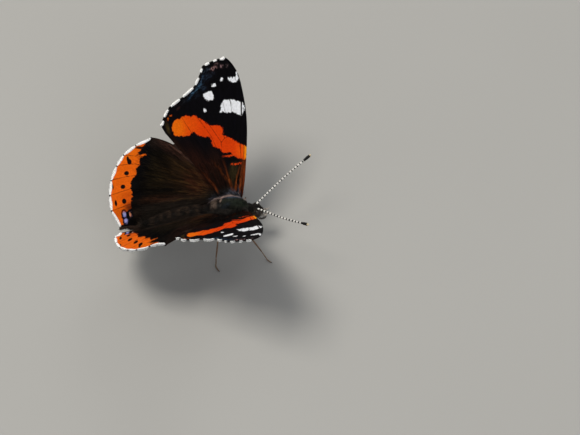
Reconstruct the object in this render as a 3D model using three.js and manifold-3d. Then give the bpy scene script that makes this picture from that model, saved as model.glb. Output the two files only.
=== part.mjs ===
// Red admiral butterfly, Vanessa atalanta, standing with its wings held open in a V, life size.
// Millimetres: +X towards the head, +Y to the butterfly's left, +Z up, feet on z = 0.
import * as THREE from "three";
import { mergeVertices } from "three/addons/utils/BufferGeometryUtils.js";
import Module from "manifold-3d";

const wasm = await Module();
wasm.setup();

// Driving dimensions
const gap = 0.2; // clearance where one piece meets another
const socketGap = 0.1; // the same, round an eye
const wingThickness = 0.5;
const rootHeight = 9.2; // height of the line in which the two wing planes meet
const wingRise = THREE.MathUtils.degToRad(37); // how far each forewing is raised
const centreShift = 2.9; // places the middle of the whole length over the origin

const thorax = { front: 5.0, back: -4.8, width: 5.8, height: 5.9, level: 0.5 };
const abdomen = { front: -4.4, back: -18.9, width: 4.2, height: 4.0 };
const head = { front: 8.0, back: 4.7, width: 3.0, height: 3.1, level: -1.75 };
const eye = { at: [6.5, 1.18, -1.65], half: [0.9, 0.72, 1.05] };
const antenna = { shaft: 0.26, club: 0.46, clubStart: 0.86, root: [6.7, 0.8, -0.55] };
const antennaTips = { left: [20.3, 8.0, 5.1], right: [17.5, 11.6, 4.4] };
const antennaBow = { left: [0, 0.5], right: [0.35, 0] }; // outward and upward, halfway along
const palp = { from: [7.5, 0.62, -2.75], to: [9.3, 0.52, -2.2], radius: 0.34 };
const tongue = { at: [7.35, -4.15], outer: 1.02, inner: 0.4, turns: 0.97, radius: 0.25 };
const legRadius = { hip: 0.46, knee: 0.34, ankle: 0.27, toe: 0.27 };

// The edges of the wings, as [forward, outward] from the body's midpoint, in the wing's own plane.
// `margin` holds the vein ends along the fringed outer edge, from the front corner to the hind one.
const forewingEdge = {
  leading: [[3.3, 1.6], [4.6, 5.8], [5.8, 11.2], [6.8, 16.6], [7.25, 21], [7.2, 25.4], [6.75, 29.6],
    [5.7, 32.2], [4.6, 33.6]],
  margin: [[2.9, 33.9], [1.2, 33.5], [-1.0, 32.8], [-1.95, 30.8], [-3.4, 28.5], [-6.6, 26.4],
    [-9.7, 24.7], [-11.5, 22.3], [-11.95, 20.6]],
  trailing: [[-11.2, 18.9], [-9.5, 16.2], [-6.1, 10.2], [-1.5, 1.6]],
};
const hindwingEdge = {
  leading: [[-1.3, 2.4], [-3.6, 8.0], [-6.1, 12.1], [-9.4, 15.7], [-12.2, 17.6], [-14.6, 18.6]],
  margin: [[-14.6, 18.6], [-18.3, 17.6], [-21.4, 15.9], [-23.4, 13.6], [-25.1, 10.5], [-25.9, 7.1],
    [-26.0, 3.5], [-24.4, -0.35]],
  trailing: [[-24.4, -0.35], [-22.4, -0.35], [-20.5, -0.5], [-18, -0.6], [-16, -0.3], [-14, 0.3],
    [-10, 1.3], [-4.1, 2]],
};
const scallop = { forewing: 0.12, hindwing: 0.2, steps: 4 }; // depth between two vein ends, points per wave

// How far the hindwing stands off the forewing's plane: over it along the front edge, drooping behind
const hindwingLie = { hinge: [-2, 4], along: [-0.64, 0.766], lift: 0.68, fall: 0.133, from: 14, bend: 0.41 };
// How far every wing bends down towards its root, and the hindwing beside the abdomen
const rootDip = { depth: 2.2, reach: 12 };
const bellyFold = { depth: 1.1, reach: 4.5, from: -22, to: -4 };

function closedGeometry(points, faces) {
  const position = new THREE.Float32BufferAttribute(points.flatMap((p) => p.toArray()), 3);
  let volume = 0;
  for (const [a, b, c] of faces) {
    volume += points[a].dot(new THREE.Vector3().crossVectors(points[b], points[c]));
  }
  const outward = volume > 0 ? faces : faces.map(([a, b, c]) => [a, c, b]);
  const geometry = new THREE.BufferGeometry();
  geometry.setAttribute("position", position);
  geometry.setIndex(outward.flat());
  return geometry;
}

function toSolid(geometry) {
  const bare = geometry.clone();
  bare.deleteAttribute("normal");
  bare.deleteAttribute("uv");
  const merged = mergeVertices(bare, 1e-4);
  return new wasm.Manifold(new wasm.Mesh({
    numProp: 3,
    vertProperties: Float32Array.from(merged.attributes.position.array),
    triVerts: Uint32Array.from(merged.index.array),
  }));
}

// A solid cut clear of its neighbour, without the crumbs that the cut leaves beyond it
function cutClear(solid, neighbour) {
  const pieces = solid.subtract(neighbour).decompose();
  return pieces.reduce((most, piece) => (piece.volume() > most.volume() ? piece : most));
}

function toGeometry(solid) {
  const mesh = solid.getMesh();
  const geometry = new THREE.BufferGeometry();
  geometry.setAttribute("position", new THREE.BufferAttribute(new Float32Array(mesh.vertProperties), 3));
  geometry.setIndex(new THREE.BufferAttribute(new Uint32Array(mesh.triVerts), 1));
  geometry.computeVertexNormals();
  return geometry;
}

// A body swept along a curve, its section an ellipse of changing half width and half height
function sweep(path, halfWidth, halfHeight, stations, sides) {
  const frames = path.computeFrenetFrames(stations.length - 1);
  const points = [];
  const faces = [];
  stations.forEach((s, i) => {
    const middle = path.getPointAt(s);
    const frame = Math.round(s * (stations.length - 1));
    for (let k = 0; k < sides; k++) {
      const turn = (k / sides) * 2 * Math.PI;
      points.push(middle.clone()
        .addScaledVector(frames.normals[frame], Math.cos(turn) * halfWidth(s))
        .addScaledVector(frames.binormals[frame], Math.sin(turn) * halfHeight(s)));
      if (i > 0) {
        const here = i * sides + k;
        const next = i * sides + (k + 1) % sides;
        faces.push([here - sides, here, next], [here - sides, next, next - sides]);
      }
    }
  });
  const last = (stations.length - 1) * sides;
  points.push(path.getPointAt(stations[0]), path.getPointAt(stations.at(-1)));
  for (let k = 0; k < sides; k++) {
    const next = (k + 1) % sides;
    faces.push([points.length - 2, k, next], [points.length - 1, last + next, last + k]);
  }
  return closedGeometry(points, faces);
}

const even = (count) => Array.from({ length: count + 1 }, (_, i) => i / count);
const rounded = (count) => even(count).map((s) => 0.5 - 0.5 * Math.cos(Math.PI * (0.06 + 0.88 * s)));
const place = (x, y, z) => new THREE.Vector3(x, y, rootHeight + z);
const curve = (...points) => new THREE.CatmullRomCurve3(points);

// Half size along a body that is blunt at its start and tapers from `shoulder` on
function bluntProfile(s, shoulder, power) {
  const rise = Math.min(s / shoulder, 1);
  const fall = Math.max((s - shoulder) / (1 - shoulder), 0);
  return Math.sqrt(1 - (1 - rise) ** 2) * Math.sqrt(1 - fall ** power);
}

// A sheet of even thickness over a grid of points, closed all round
function sheet(rows, normalAt) {
  const across = rows[0].length;
  const count = rows.length * across;
  const points = [];
  for (const side of [0.5, -0.5]) {
    for (const row of rows) {
      for (const p of row) {
        points.push(normalAt(p, side * wingThickness));
      }
    }
  }
  const faces = [];
  const quad = (a, b, c, d) => faces.push([a, b, c], [a, c, d]);
  for (let i = 0; i + 1 < rows.length; i++) {
    for (let k = 0; k + 1 < across; k++) {
      const a = i * across + k;
      quad(a, a + 1, a + across + 1, a + across);
      quad(count + a, count + a + across, count + a + across + 1, count + a + 1);
    }
    const left = i * across;
    const right = left + across - 1;
    quad(left, left + across, count + left + across, count + left);
    quad(right, count + right, count + right + across, right + across);
  }
  const top = (rows.length - 1) * across;
  for (let k = 0; k + 1 < across; k++) {
    quad(k, count + k, count + k + 1, k + 1);
    quad(top + k, top + k + 1, count + top + k + 1, count + top + k);
  }
  return closedGeometry(points, faces);
}

const flat = ([u, w]) => new THREE.Vector2(u, w);
const smooth = (list, count) => new THREE.SplineCurve(list.map(flat)).getSpacedPoints(count);

// The outer edge through its vein ends, with a shallow wave inward between each two
function scalloped(list, depth, steps) {
  const ends = list.map(flat);
  const points = [ends[0]];
  for (let i = 0; i + 1 < ends.length; i++) {
    const inward = new THREE.Vector2(ends[i].y - ends[i + 1].y, ends[i + 1].x - ends[i].x).normalize();
    for (let k = 1; k <= steps; k++) {
      const wave = depth * Math.sin(Math.PI * k / steps);
      points.push(ends[i].clone().lerp(ends[i + 1], k / steps).addScaledVector(inward, wave));
    }
  }
  return points;
}

// Rows of points that cross a wing from its hind edge to its front edge, from the root outwards
function wingRows(back, front, across) {
  return back.map((start, i) => even(across).map((k) => start.clone().lerp(front[i], k)));
}

function forewingRows() {
  const { leading, margin, trailing } = forewingEdge;
  const outer = scalloped(margin, scallop.forewing, scallop.steps);
  const back = [...smooth([...trailing].reverse(), 12), ...outer.reverse()];
  const rootLine = back[0].y;
  const reach = back.at(-1).y - rootLine;
  const costa = new THREE.SplineCurve(leading.map(flat));
  return wingRows(back, back.map((p) => costa.getPointAt(Math.min((p.y - rootLine) / reach, 1))), 3);
}

function hindwingRows() {
  const { leading, margin, trailing } = hindwingEdge;
  const half = 4; // the vein ends up to this one belong to the front edge of the grid, the others to its back
  const outerFront = scalloped(margin.slice(0, half + 1), scallop.hindwing, scallop.steps).slice(1);
  const outerBack = scalloped(margin.slice(half + 1), scallop.hindwing, scallop.steps).slice(0, -1);
  const front = [...smooth(leading, 10), ...outerFront];
  const inner = smooth([...trailing].reverse(), front.length - 1 - outerBack.length);
  return wingRows([...inner, ...outerBack.reverse()], front, 5);
}

// A point of the wing plane, lifted off it by `lift`; side is 1 on the left and -1 on the right
function onWing(side, u, w, lift) {
  const y = w * Math.cos(wingRise) - lift * Math.sin(wingRise);
  const z = w * Math.sin(wingRise) + lift * Math.cos(wingRise);
  return place(u, side * y, z);
}

function hindwingLift({ x, y }) {
  const du = x - hindwingLie.hinge[0];
  const dw = y - hindwingLie.hinge[1];
  const [au, aw] = hindwingLie.along;
  const along = du * au + dw * aw;
  const inside = -du * aw + dw * au;
  const over = Math.max(along - hindwingLie.from, 0);
  const droop = hindwingLie.fall * Math.max(inside, 0) + hindwingLie.bend * over * over / (over + 2);
  const lengthwise = THREE.MathUtils.clamp((x - bellyFold.from) / (bellyFold.to - bellyFold.from), 0, 1);
  const beside = Math.max(1 - Math.max(y, 0) / bellyFold.reach, 0) ** 2;
  return hindwingLie.lift - droop - bellyFold.depth * Math.sin(Math.PI * lengthwise) * beside;
}

function rootLift({ x, y }) {
  return -rootDip.depth * Math.max(1 - Math.hypot(x, y) / rootDip.reach, 0) ** 2;
}

function thoraxGeometry(extra) {
  const path = curve(
    place(thorax.back, 0, thorax.level + 0.1),
    place(0, 0, thorax.level + 0.25),
    place(thorax.front, 0, thorax.level - 1.4));
  const size = (s) => 1 - Math.abs(2 * s - 1) ** 2.5;
  return sweep(
    path,
    (s) => extra + thorax.width / 2 * Math.sqrt(size(s)),
    (s) => extra + thorax.height / 2 * size(s) ** 0.45,
    rounded(14), 20);
}

function abdomenGeometry(extra) {
  const path = curve(
    place(abdomen.front, 0, 0.4), place(-9, 0, 0), place(-14, 0, -0.55), place(abdomen.back, 0, -1.15));
  const rings = (s) => 1 + 0.03 * Math.cos(2 * Math.PI * 7.5 * s); // the seven visible segments
  const size = (s) => bluntProfile(s, 0.3, 2.1) * rings(s);
  return sweep(
    path,
    (s) => extra + abdomen.width / 2 * size(s),
    (s) => extra + abdomen.height / 2 * size(s),
    rounded(22), 16);
}

function headGeometry(extra) {
  const path = curve(
    place(head.back, 0, head.level + 0.35),
    place(6.4, 0, head.level),
    place(head.front, 0, head.level - 0.15));
  const size = (s) => Math.sqrt(1 - Math.abs(2 * s - 1) ** 2.4);
  return sweep(
    path,
    (s) => extra + head.width / 2 * size(s),
    (s) => extra + head.height / 2 * size(s),
    rounded(10), 20);
}

function eyeGeometry(side, extra) {
  const [x, y, z] = eye.at;
  const [a, b, c] = eye.half;
  const ball = new THREE.SphereGeometry(1, 14, 10);
  ball.scale(a + extra, b + extra, c + extra);
  const middle = place(x, side * y, z);
  ball.translate(middle.x, middle.y, middle.z);
  return ball;
}

function antennaGeometry(side, tip, [out, up]) {
  const [x, y, z] = antenna.root;
  const [tx, ty, tz] = tip;
  const path = curve(
    place(x - 0.2, side * (y - 0.1), z - 0.3), place(x + 0.3, side * (y + 0.2), z + 0.25),
    place((x + tx) / 2, side * ((y + ty) / 2 + out), (z + tz) / 2 + up), place(tx, side * ty, tz));
  const radius = (s) => {
    const club = THREE.MathUtils.smoothstep(s, antenna.clubStart, 0.93);
    const tipRound = 1 - Math.max((s - 0.93) / 0.07, 0) ** 2 * 0.45;
    return (antenna.shaft + (antenna.club - antenna.shaft) * club) * tipRound;
  };
  return sweep(path, radius, radius, even(16), 8);
}

function palpGeometry(side) {
  const from = place(palp.from[0], side * palp.from[1], palp.from[2]);
  const to = place(palp.to[0], side * palp.to[1], palp.to[2]);
  const bow = from.clone().lerp(to, 0.45).add(new THREE.Vector3(0, 0, -0.12));
  const radius = (s) => palp.radius * (0.75 + 0.35 * Math.sin(Math.PI * Math.min(s * 1.3, 1)) - 0.2 * s);
  return sweep(curve(from, bow, to), radius, radius, even(8), 10);
}

// The coiled tongue, a flat spiral under the face
function tongueGeometry() {
  const steps = 26;
  const points = even(steps).map((s) => {
    const turn = Math.PI * 0.55 - s * tongue.turns * 2 * Math.PI;
    const reach = tongue.outer + (tongue.inner - tongue.outer) * s;
    return place(tongue.at[0] + reach * Math.cos(turn), 0, tongue.at[1] + reach * Math.sin(turn));
  });
  const radius = (s) => tongue.radius * (1 - 0.1 * s);
  return sweep(new THREE.CatmullRomCurve3(points), radius, radius, even(steps), 6);
}

// A walking leg through hip, knee, ankle and two points of the foot, its sole flat on the floor
function legGeometry(joints) {
  const [hip, knee, ankle, ball, toe] = joints.map(([x, y, z]) => new THREE.Vector3(x, y, z));
  const nearKnee = hip.clone().lerp(knee, 0.86);
  const pastKnee = knee.clone().lerp(ankle, 0.12);
  const nearAnkle = knee.clone().lerp(ankle, 0.9);
  const path = new THREE.CatmullRomCurve3([hip, nearKnee, pastKnee, nearAnkle, ball, toe]);
  const { hip: a, knee: b, ankle: c, toe: d } = legRadius;
  const mix = THREE.MathUtils.lerp;
  const radius = (s) => {
    const shank = s < 0.35 ? mix(a, b, s / 0.35) : mix(b, c, (s - 0.35) / 0.35);
    return s < 0.7 ? shank : mix(c, d, (s - 0.7) / 0.3);
  };
  const geometry = sweep(path, radius, radius, even(22), 8);
  const position = geometry.attributes.position;
  for (let i = 0; i < position.count; i++) {
    position.setZ(i, Math.max(position.getZ(i), 0));
  }
  return geometry;
}

const walkingLegs = {
  midleg_right: [[1.7, -1.3, 7.3], [3.1, -5, 7.1], [6.2, -7.8, 2.2], [7.2, -8.7, 0.25], [7.9, -9.5, 0.2]],
  hindleg_right: [[-0.9, -1.3, 7.3], [-3, -6.1, 7.2], [-4.1, -7.4, 2], [-4.4, -8.5, 0.25], [-3.9, -9.8, 0.2]],
  midleg_left: [[1.7, 1.3, 7.3], [2.1, 5.4, 6.9], [3.2, 8.3, 2.2], [3.7, 9.3, 0.25], [4.3, 10.2, 0.2]],
  hindleg_left: [[-0.9, 1.3, 7.3], [-3.9, 5.8, 7.1], [-6.4, 7.4, 2.1], [-7.6, 8.2, 0.25], [-8.9, 8.9, 0.2]],
};

// A foreleg is a short brush, folded under the front of the thorax
function forelegGeometry(side) {
  const path = curve(
    place(2.9, side * 0.85, -2.0), place(4.0, side * 1.05, -3.4), place(5.1, side * 1.0, -4.1),
    place(6.0, side * 0.85, -3.75));
  const radius = (s) => 0.42 - 0.14 * s;
  return sweep(path, radius, radius, even(12), 8);
}

const palette = {
  dark: { color: 0x2b2622, roughness: 0.95 },
  wingTop: { color: 0x1d1613, roughness: 0.85 },
  hindTop: { color: 0x3a2a20, roughness: 0.85 },
  eye: { color: 0x2a1d16, roughness: 0.25 },
  ringed: { color: 0x1b1a1a, roughness: 0.6 },
  pale: { color: 0xa89684, roughness: 0.9 },
  leg: { color: 0x6b5646, roughness: 0.7 },
};

const admiral = new THREE.Group();
admiral.position.x = centreShift;

function addPiece(name, solid, finish) {
  const material = new THREE.MeshStandardMaterial({ ...palette[finish], metalness: 0 });
  const mesh = new THREE.Mesh(toGeometry(solid), material);
  mesh.name = name;
  admiral.add(mesh);
}

const thoraxClear = toSolid(thoraxGeometry(gap));
const bodyClear = thoraxClear.add(toSolid(abdomenGeometry(gap)));
const headClear = toSolid(headGeometry(gap));

addPiece("thorax", toSolid(thoraxGeometry(0)), "dark");
addPiece("abdomen", toSolid(abdomenGeometry(0)).subtract(thoraxClear), "dark");
let headSolid = toSolid(headGeometry(0)).subtract(thoraxClear);
for (const side of [1, -1]) {
  headSolid = headSolid.subtract(toSolid(eyeGeometry(side, socketGap)));
}
addPiece("head", headSolid, "dark");
addPiece("proboscis", toSolid(tongueGeometry()).subtract(headClear), "ringed");

for (const [label, side] of [["left", 1], ["right", -1]]) {
  const flatWing = (p, lift) => onWing(side, p.x, p.y, lift + rootLift(p));
  const lyingWing = (p, lift) => onWing(side, p.x, p.y, lift + rootLift(p) + hindwingLift(p));
  const forewing = toSolid(sheet(forewingRows(), flatWing));
  const hindwing = toSolid(sheet(hindwingRows(), lyingWing));
  addPiece(`forewing_${label}`, cutClear(forewing, thoraxClear), "wingTop");
  addPiece(`hindwing_${label}`, cutClear(hindwing, bodyClear), "hindTop");
  addPiece(`eye_${label}`, toSolid(eyeGeometry(side, 0)), "eye");
  const feeler = antennaGeometry(side, antennaTips[label], antennaBow[label]);
  addPiece(`antenna_${label}`, toSolid(feeler).subtract(headClear), "ringed");
  addPiece(`palp_${label}`, toSolid(palpGeometry(side)).subtract(headClear), "pale");
  addPiece(`foreleg_${label}`, toSolid(forelegGeometry(side)).subtract(thoraxClear), "leg");
  for (const leg of [`midleg_${label}`, `hindleg_${label}`]) {
    addPiece(leg, toSolid(legGeometry(walkingLegs[leg])).subtract(thoraxClear), "leg");
  }
}

export default admiral;
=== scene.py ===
import bpy, math
import numpy as np
from mathutils import Matrix, Vector


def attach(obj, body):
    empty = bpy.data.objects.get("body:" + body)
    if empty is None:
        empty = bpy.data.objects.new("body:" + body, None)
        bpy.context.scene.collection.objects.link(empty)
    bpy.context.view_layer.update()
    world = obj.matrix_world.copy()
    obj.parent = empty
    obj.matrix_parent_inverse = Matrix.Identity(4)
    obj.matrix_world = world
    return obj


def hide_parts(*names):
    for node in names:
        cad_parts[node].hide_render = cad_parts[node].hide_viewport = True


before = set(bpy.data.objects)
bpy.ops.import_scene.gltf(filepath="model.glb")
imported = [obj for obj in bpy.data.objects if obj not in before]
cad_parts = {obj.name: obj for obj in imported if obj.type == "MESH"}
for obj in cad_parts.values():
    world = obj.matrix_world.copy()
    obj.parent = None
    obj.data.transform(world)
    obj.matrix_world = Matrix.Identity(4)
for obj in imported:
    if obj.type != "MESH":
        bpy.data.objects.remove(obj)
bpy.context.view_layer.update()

# A red admiral butterfly at rest with its wings held up in a V. Lengths are in millimetres up to the last
# step of each piece. x runs forward, y to the animal's left; u runs forward and w outward on a wing. The
# stance gives the wing roots' height, how far they are ahead of the origin and how steeply the wings rise.
stance = {"rootHeight": 9.2, "shift": 2.9, "rise": math.radians(37)}
metre = 0.001
spanSteps = 12  # steps from one given point to the next, along a curve or a wing's outer edge
bothSides = (("left", 1), ("right", -1))
dice = np.random.default_rng(31)


def toLinear(hexColour):
    parts = [int(hexColour[i:i + 2], 16) / 255 for i in (1, 3, 5)]
    return [p / 12.92 if p <= 0.04045 else ((p + 0.055) / 1.055) ** 2.4 for p in parts] + [1.0]


def addNode(tree, kind, inputs=None, out=None, stops=None, **settings):
    node = tree.nodes.new(kind)
    for key, value in settings.items():
        setattr(node, key, value)
    for key, value in (inputs or {}).items():
        if isinstance(value, bpy.types.NodeSocket):
            tree.links.new(value, node.inputs[key])
        else:
            node.inputs[key].default_value = toLinear(value) if isinstance(value, str) else value
    for i, (place, colour) in enumerate(stops or []):
        stop = node.color_ramp.elements[i] if i < 2 else node.color_ramp.elements.new(place)
        stop.position, stop.color = place, toLinear(colour)
    return node if out is None else node.outputs[out]


def newMaterial(name):
    material = bpy.data.materials.new(name)
    material.use_nodes = True
    material.node_tree.nodes.clear()
    return material, material.node_tree


def finishMaterial(tree, surface):
    shader = addNode(tree, "ShaderNodeBsdfPrincipled", surface, 0)
    addNode(tree, "ShaderNodeOutputMaterial", {"Surface": shader})


def deselectAll():
    if bpy.context.object and bpy.context.object.mode != "OBJECT":
        bpy.ops.object.mode_set(mode="OBJECT")
    bpy.ops.object.select_all(action="DESELECT")


def pick(*pieces):
    deselectAll()
    for piece in pieces:
        piece.select_set(True)
    bpy.context.view_layer.objects.active = pieces[0]


def joined(name, pieces):
    pick(*pieces)
    if len(pieces) > 1:
        bpy.ops.object.join()
    bpy.context.object.name = name
    return bpy.context.object


def applyModifier(piece, kind, **settings):
    pick(piece)
    bpy.ops.object.modifier_add(type=kind)
    modifier = piece.modifiers[-1]
    for key, value in settings.items():
        setattr(modifier, key, value)
    bpy.ops.object.modifier_apply(modifier=modifier.name)


def settle(piece, materials, slot, *nodes):
    # the finish of a piece, the body it belongs to, its slot, which is not used, and the solids that it
    # stands in for
    for material in materials:
        piece.data.materials.append(material)
    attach(piece, "root")
    if nodes:
        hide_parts(*nodes)


def layGrid(name, points, rolled=False):
    # a grid that lies where the rows of `points` say; rolled up, it closes into a tube with filled ends
    rows, columns = points.shape[:2]
    deselectAll()
    bpy.ops.mesh.primitive_grid_add(x_subdivisions=columns - 1, y_subdivisions=rows - 1, size=1)
    piece = bpy.context.object
    piece.name = name
    piece.data.vertices.foreach_set("co", (points.reshape(-1, 3) * metre).ravel())
    while piece.data.uv_layers:
        piece.data.uv_layers.remove(piece.data.uv_layers[0])
    if rolled:
        bpy.ops.object.mode_set(mode="EDIT")
        bpy.ops.mesh.select_all(action="SELECT")
        bpy.ops.mesh.remove_doubles(threshold=0.001 * metre)
        bpy.ops.mesh.fill_holes(sides=0)
        bpy.ops.mesh.normals_make_consistent(inside=False)
        bpy.ops.object.mode_set(mode="OBJECT")
    piece.data.update()
    return piece


def addBall(name, middle, half, lean=0):
    # an ellipsoid of the given half sizes, leaning about the level axis across the body by `lean` degrees
    deselectAll()
    bpy.ops.mesh.primitive_uv_sphere_add(
        segments=48, ring_count=32, radius=1, location=toModel(middle) * metre,
        rotation=(0, math.radians(lean), 0))
    ball = bpy.context.object
    ball.name = name
    ball.scale = np.array(half) * metre
    bpy.ops.object.transform_apply(location=True, rotation=True, scale=True)
    return ball


def unit(v):
    return v / np.maximum(np.linalg.norm(v, axis=-1, keepdims=True), 1e-9)


def smooth(value, low, high):
    # rises softly from 0 at `low` to 1 at `high`
    t = np.clip((value - low) / (high - low), 0, 1)
    return t * t * (3 - 2 * t)


def mix(tone, tint, share):
    return tone * (1 - share) + np.array(tint) * share


def between(a, b, share):
    return a + (b - a) * share


def shareAlong(value, reach):
    return (value - reach[0]) / (reach[1] - reach[0])


def lengthsAlong(line):
    return np.r_[0, np.cumsum(np.linalg.norm(np.diff(line, axis=0), axis=1))]


def evenSteps(line, count):
    far = lengthsAlong(line)
    at = np.linspace(0, far[-1], count + 1)
    return np.stack([np.interp(at, far, line[:, k]) for k in range(line.shape[1])], 1)


def curveThrough(points, count):
    # `count` even steps along a smooth curve through the points
    p = np.array(points, float)
    p = np.vstack([p[:1], p, p[-1:]])
    t = np.linspace(0, 1, spanSteps + 1)[:-1, None]
    line = []
    for a, b, c, d in zip(p, p[1:], p[2:], p[3:]):
        curved = 2 * b + (c - a) * t + (2 * a - 5 * b + 4 * c - d) * t ** 2
        line.append(0.5 * (curved + (3 * b - a - 3 * c + d) * t ** 3))
    return evenSteps(np.vstack(line + [p[-1:]]), count)


def tubePoints(path, wide, high=None, sides=12, up=(0, 0, 1)):
    # rings of an ellipse round a path; `wide` lies level and `high` stands towards `up`
    path = np.array(path, float)
    along = unit(np.gradient(path, axis=0))
    side = unit(np.cross(np.broadcast_to(up, path.shape), along))
    top = np.cross(along, side)
    turn = np.linspace(0, 2 * math.pi, sides + 1)[:, None]
    turn[-1] = 0
    wide = np.broadcast_to(wide, len(path))[:, None, None]
    high = wide if high is None else np.broadcast_to(high, len(path))[:, None, None]
    return path[:, None] + side[:, None] * np.cos(turn) * wide + top[:, None] * np.sin(turn) * high


def toModel(points):
    return np.asarray(points, float) + (stance["shift"], 0, stance["rootHeight"])


def readRows(items, key, width, kind=float):
    # a row of numbers for each vertex, face or corner of a mesh
    values = np.empty(len(items) * width, kind)
    items.foreach_get(key, values)
    return values.reshape(-1, width)


def vertexPlaces(piece):
    return readRows(piece.data.vertices, "co", 3) / metre


def storeColours(piece, name, colours):
    layer = piece.data.attributes.new(name, "FLOAT_COLOR", "POINT")
    layer.data.foreach_set("color", np.asarray(colours, np.float32).ravel())


def storeNumbers(piece, name, values):
    layer = piece.data.attributes.new(name, "FLOAT", "POINT")
    layer.data.foreach_set("value", np.asarray(values, np.float32).ravel())


def storeMap(piece, name, places):
    corner = readRows(piece.data.loops, "vertex_index", 1, np.int32)[:, 0]
    layer = piece.data.uv_layers.new(name=name)
    layer.data.foreach_set("uv", np.asarray(places, np.float32)[corner].ravel())


def paint(piece, colour):
    # one colour for a whole piece, or one for each of its points
    storeColours(piece, "tone", np.broadcast_to(colour, (len(piece.data.vertices), 4)))


print("stage: camera, lights and floor")
# Far off with a long lens, so the wings keep the flat proportions that a telephoto gives. `right` and `down`
# put the aim beside the wing roots, where it is in the picture. The clip distances are in metres.
camera = {"above": math.radians(50), "roll": math.radians(8.5), "right": 13.985, "down": 1.791,
          "distance": 2000, "frameWidth": 129.5, "sensor": 36, "clip": (0.05, 50)}


def placeCamera():
    towards = np.array([0, -math.cos(camera["above"]), math.sin(camera["above"])])
    level = np.array([1, 0, 0])
    rising = np.array([0, math.sin(camera["above"]), math.cos(camera["above"])])
    right = math.cos(camera["roll"]) * level - math.sin(camera["roll"]) * rising
    up = math.sin(camera["roll"]) * level + math.cos(camera["roll"]) * rising
    aim = toModel((0, 0, 0)) + camera["right"] * right - camera["down"] * up
    spot = (aim + towards * camera["distance"]) * metre
    bpy.ops.object.camera_add(location=spot)
    lens = bpy.context.object
    lens.name = "camera"
    rows = [[*row, spot[i]] for i, row in enumerate(zip(right, up, towards))]
    lens.matrix_world = Matrix(rows + [[0, 0, 0, 1]])
    lens.data.sensor_width = camera["sensor"]
    lens.data.lens = camera["sensor"] * camera["distance"] / camera["frameWidth"]
    lens.data.clip_start, lens.data.clip_end = camera["clip"]
    bpy.context.scene.camera = lens


# one big soft box high on the left, a broad fill from the front and a low one behind, in metres and watts
lights = {
    "key": {"place": (-0.35, 0.15, 1.0), "size": 0.45, "power": 7.5, "colour": "#fffaf2"},
    "fill": {"place": (0.5, -1.1, 0.8), "size": 0.9, "power": 3.6, "colour": "#f4f7ff"},
    "back": {"place": (0.7, 1.0, 0.6), "size": 0.5, "power": 2.2, "colour": "#ffffff"},
}
room = {"colour": "#e9ecef", "strength": 0.4}


def placeLights():
    for name, light in lights.items():
        turn = Vector(light["place"]).to_track_quat("Z", "Y").to_euler()
        bpy.ops.object.light_add(type="AREA", location=light["place"], rotation=turn)
        lamp = bpy.context.object
        lamp.name, lamp.data.size, lamp.data.energy = name, light["size"], light["power"]
        lamp.data.color = toLinear(light["colour"])[:3]
        lamp.visible_camera = False
    world = bpy.data.worlds.new("room")
    bpy.context.scene.world = world
    world.use_nodes = True
    background = world.node_tree.nodes["Background"].inputs
    background["Color"].default_value = toLinear(room["colour"])
    background["Strength"].default_value = room["strength"]
    bpy.context.scene.view_settings.view_transform = "Standard"


# the board's size in metres and its clouds' in millimetres
board = {"size": 8, "dark": "#a9a8a4", "light": "#b0afab", "cloud": 111, "roughness": 0.9}


def layFloor():
    # painted board: dead matt, with a faint unevenness
    material, tree = newMaterial("matt painted board")
    place = addNode(tree, "ShaderNodeTexCoord", out="Object")
    cloud = {"Vector": place, "Scale": 1 / (board["cloud"] * metre), "Detail": 3.0}
    grain = addNode(tree, "ShaderNodeTexNoise", cloud, "Fac")
    shade = addNode(tree, "ShaderNodeMix", {0: grain, 6: board["dark"], 7: board["light"]}, 2,
                    data_type="RGBA")
    finishMaterial(tree, {"Base Color": shade, "Roughness": board["roughness"]})
    deselectAll()
    bpy.ops.mesh.primitive_plane_add(size=board["size"], location=(0, 0, 0))
    floor = bpy.context.object
    floor.name = "floor"
    floor.data.materials.append(material)


placeCamera()
placeLights()
layFloor()

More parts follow.
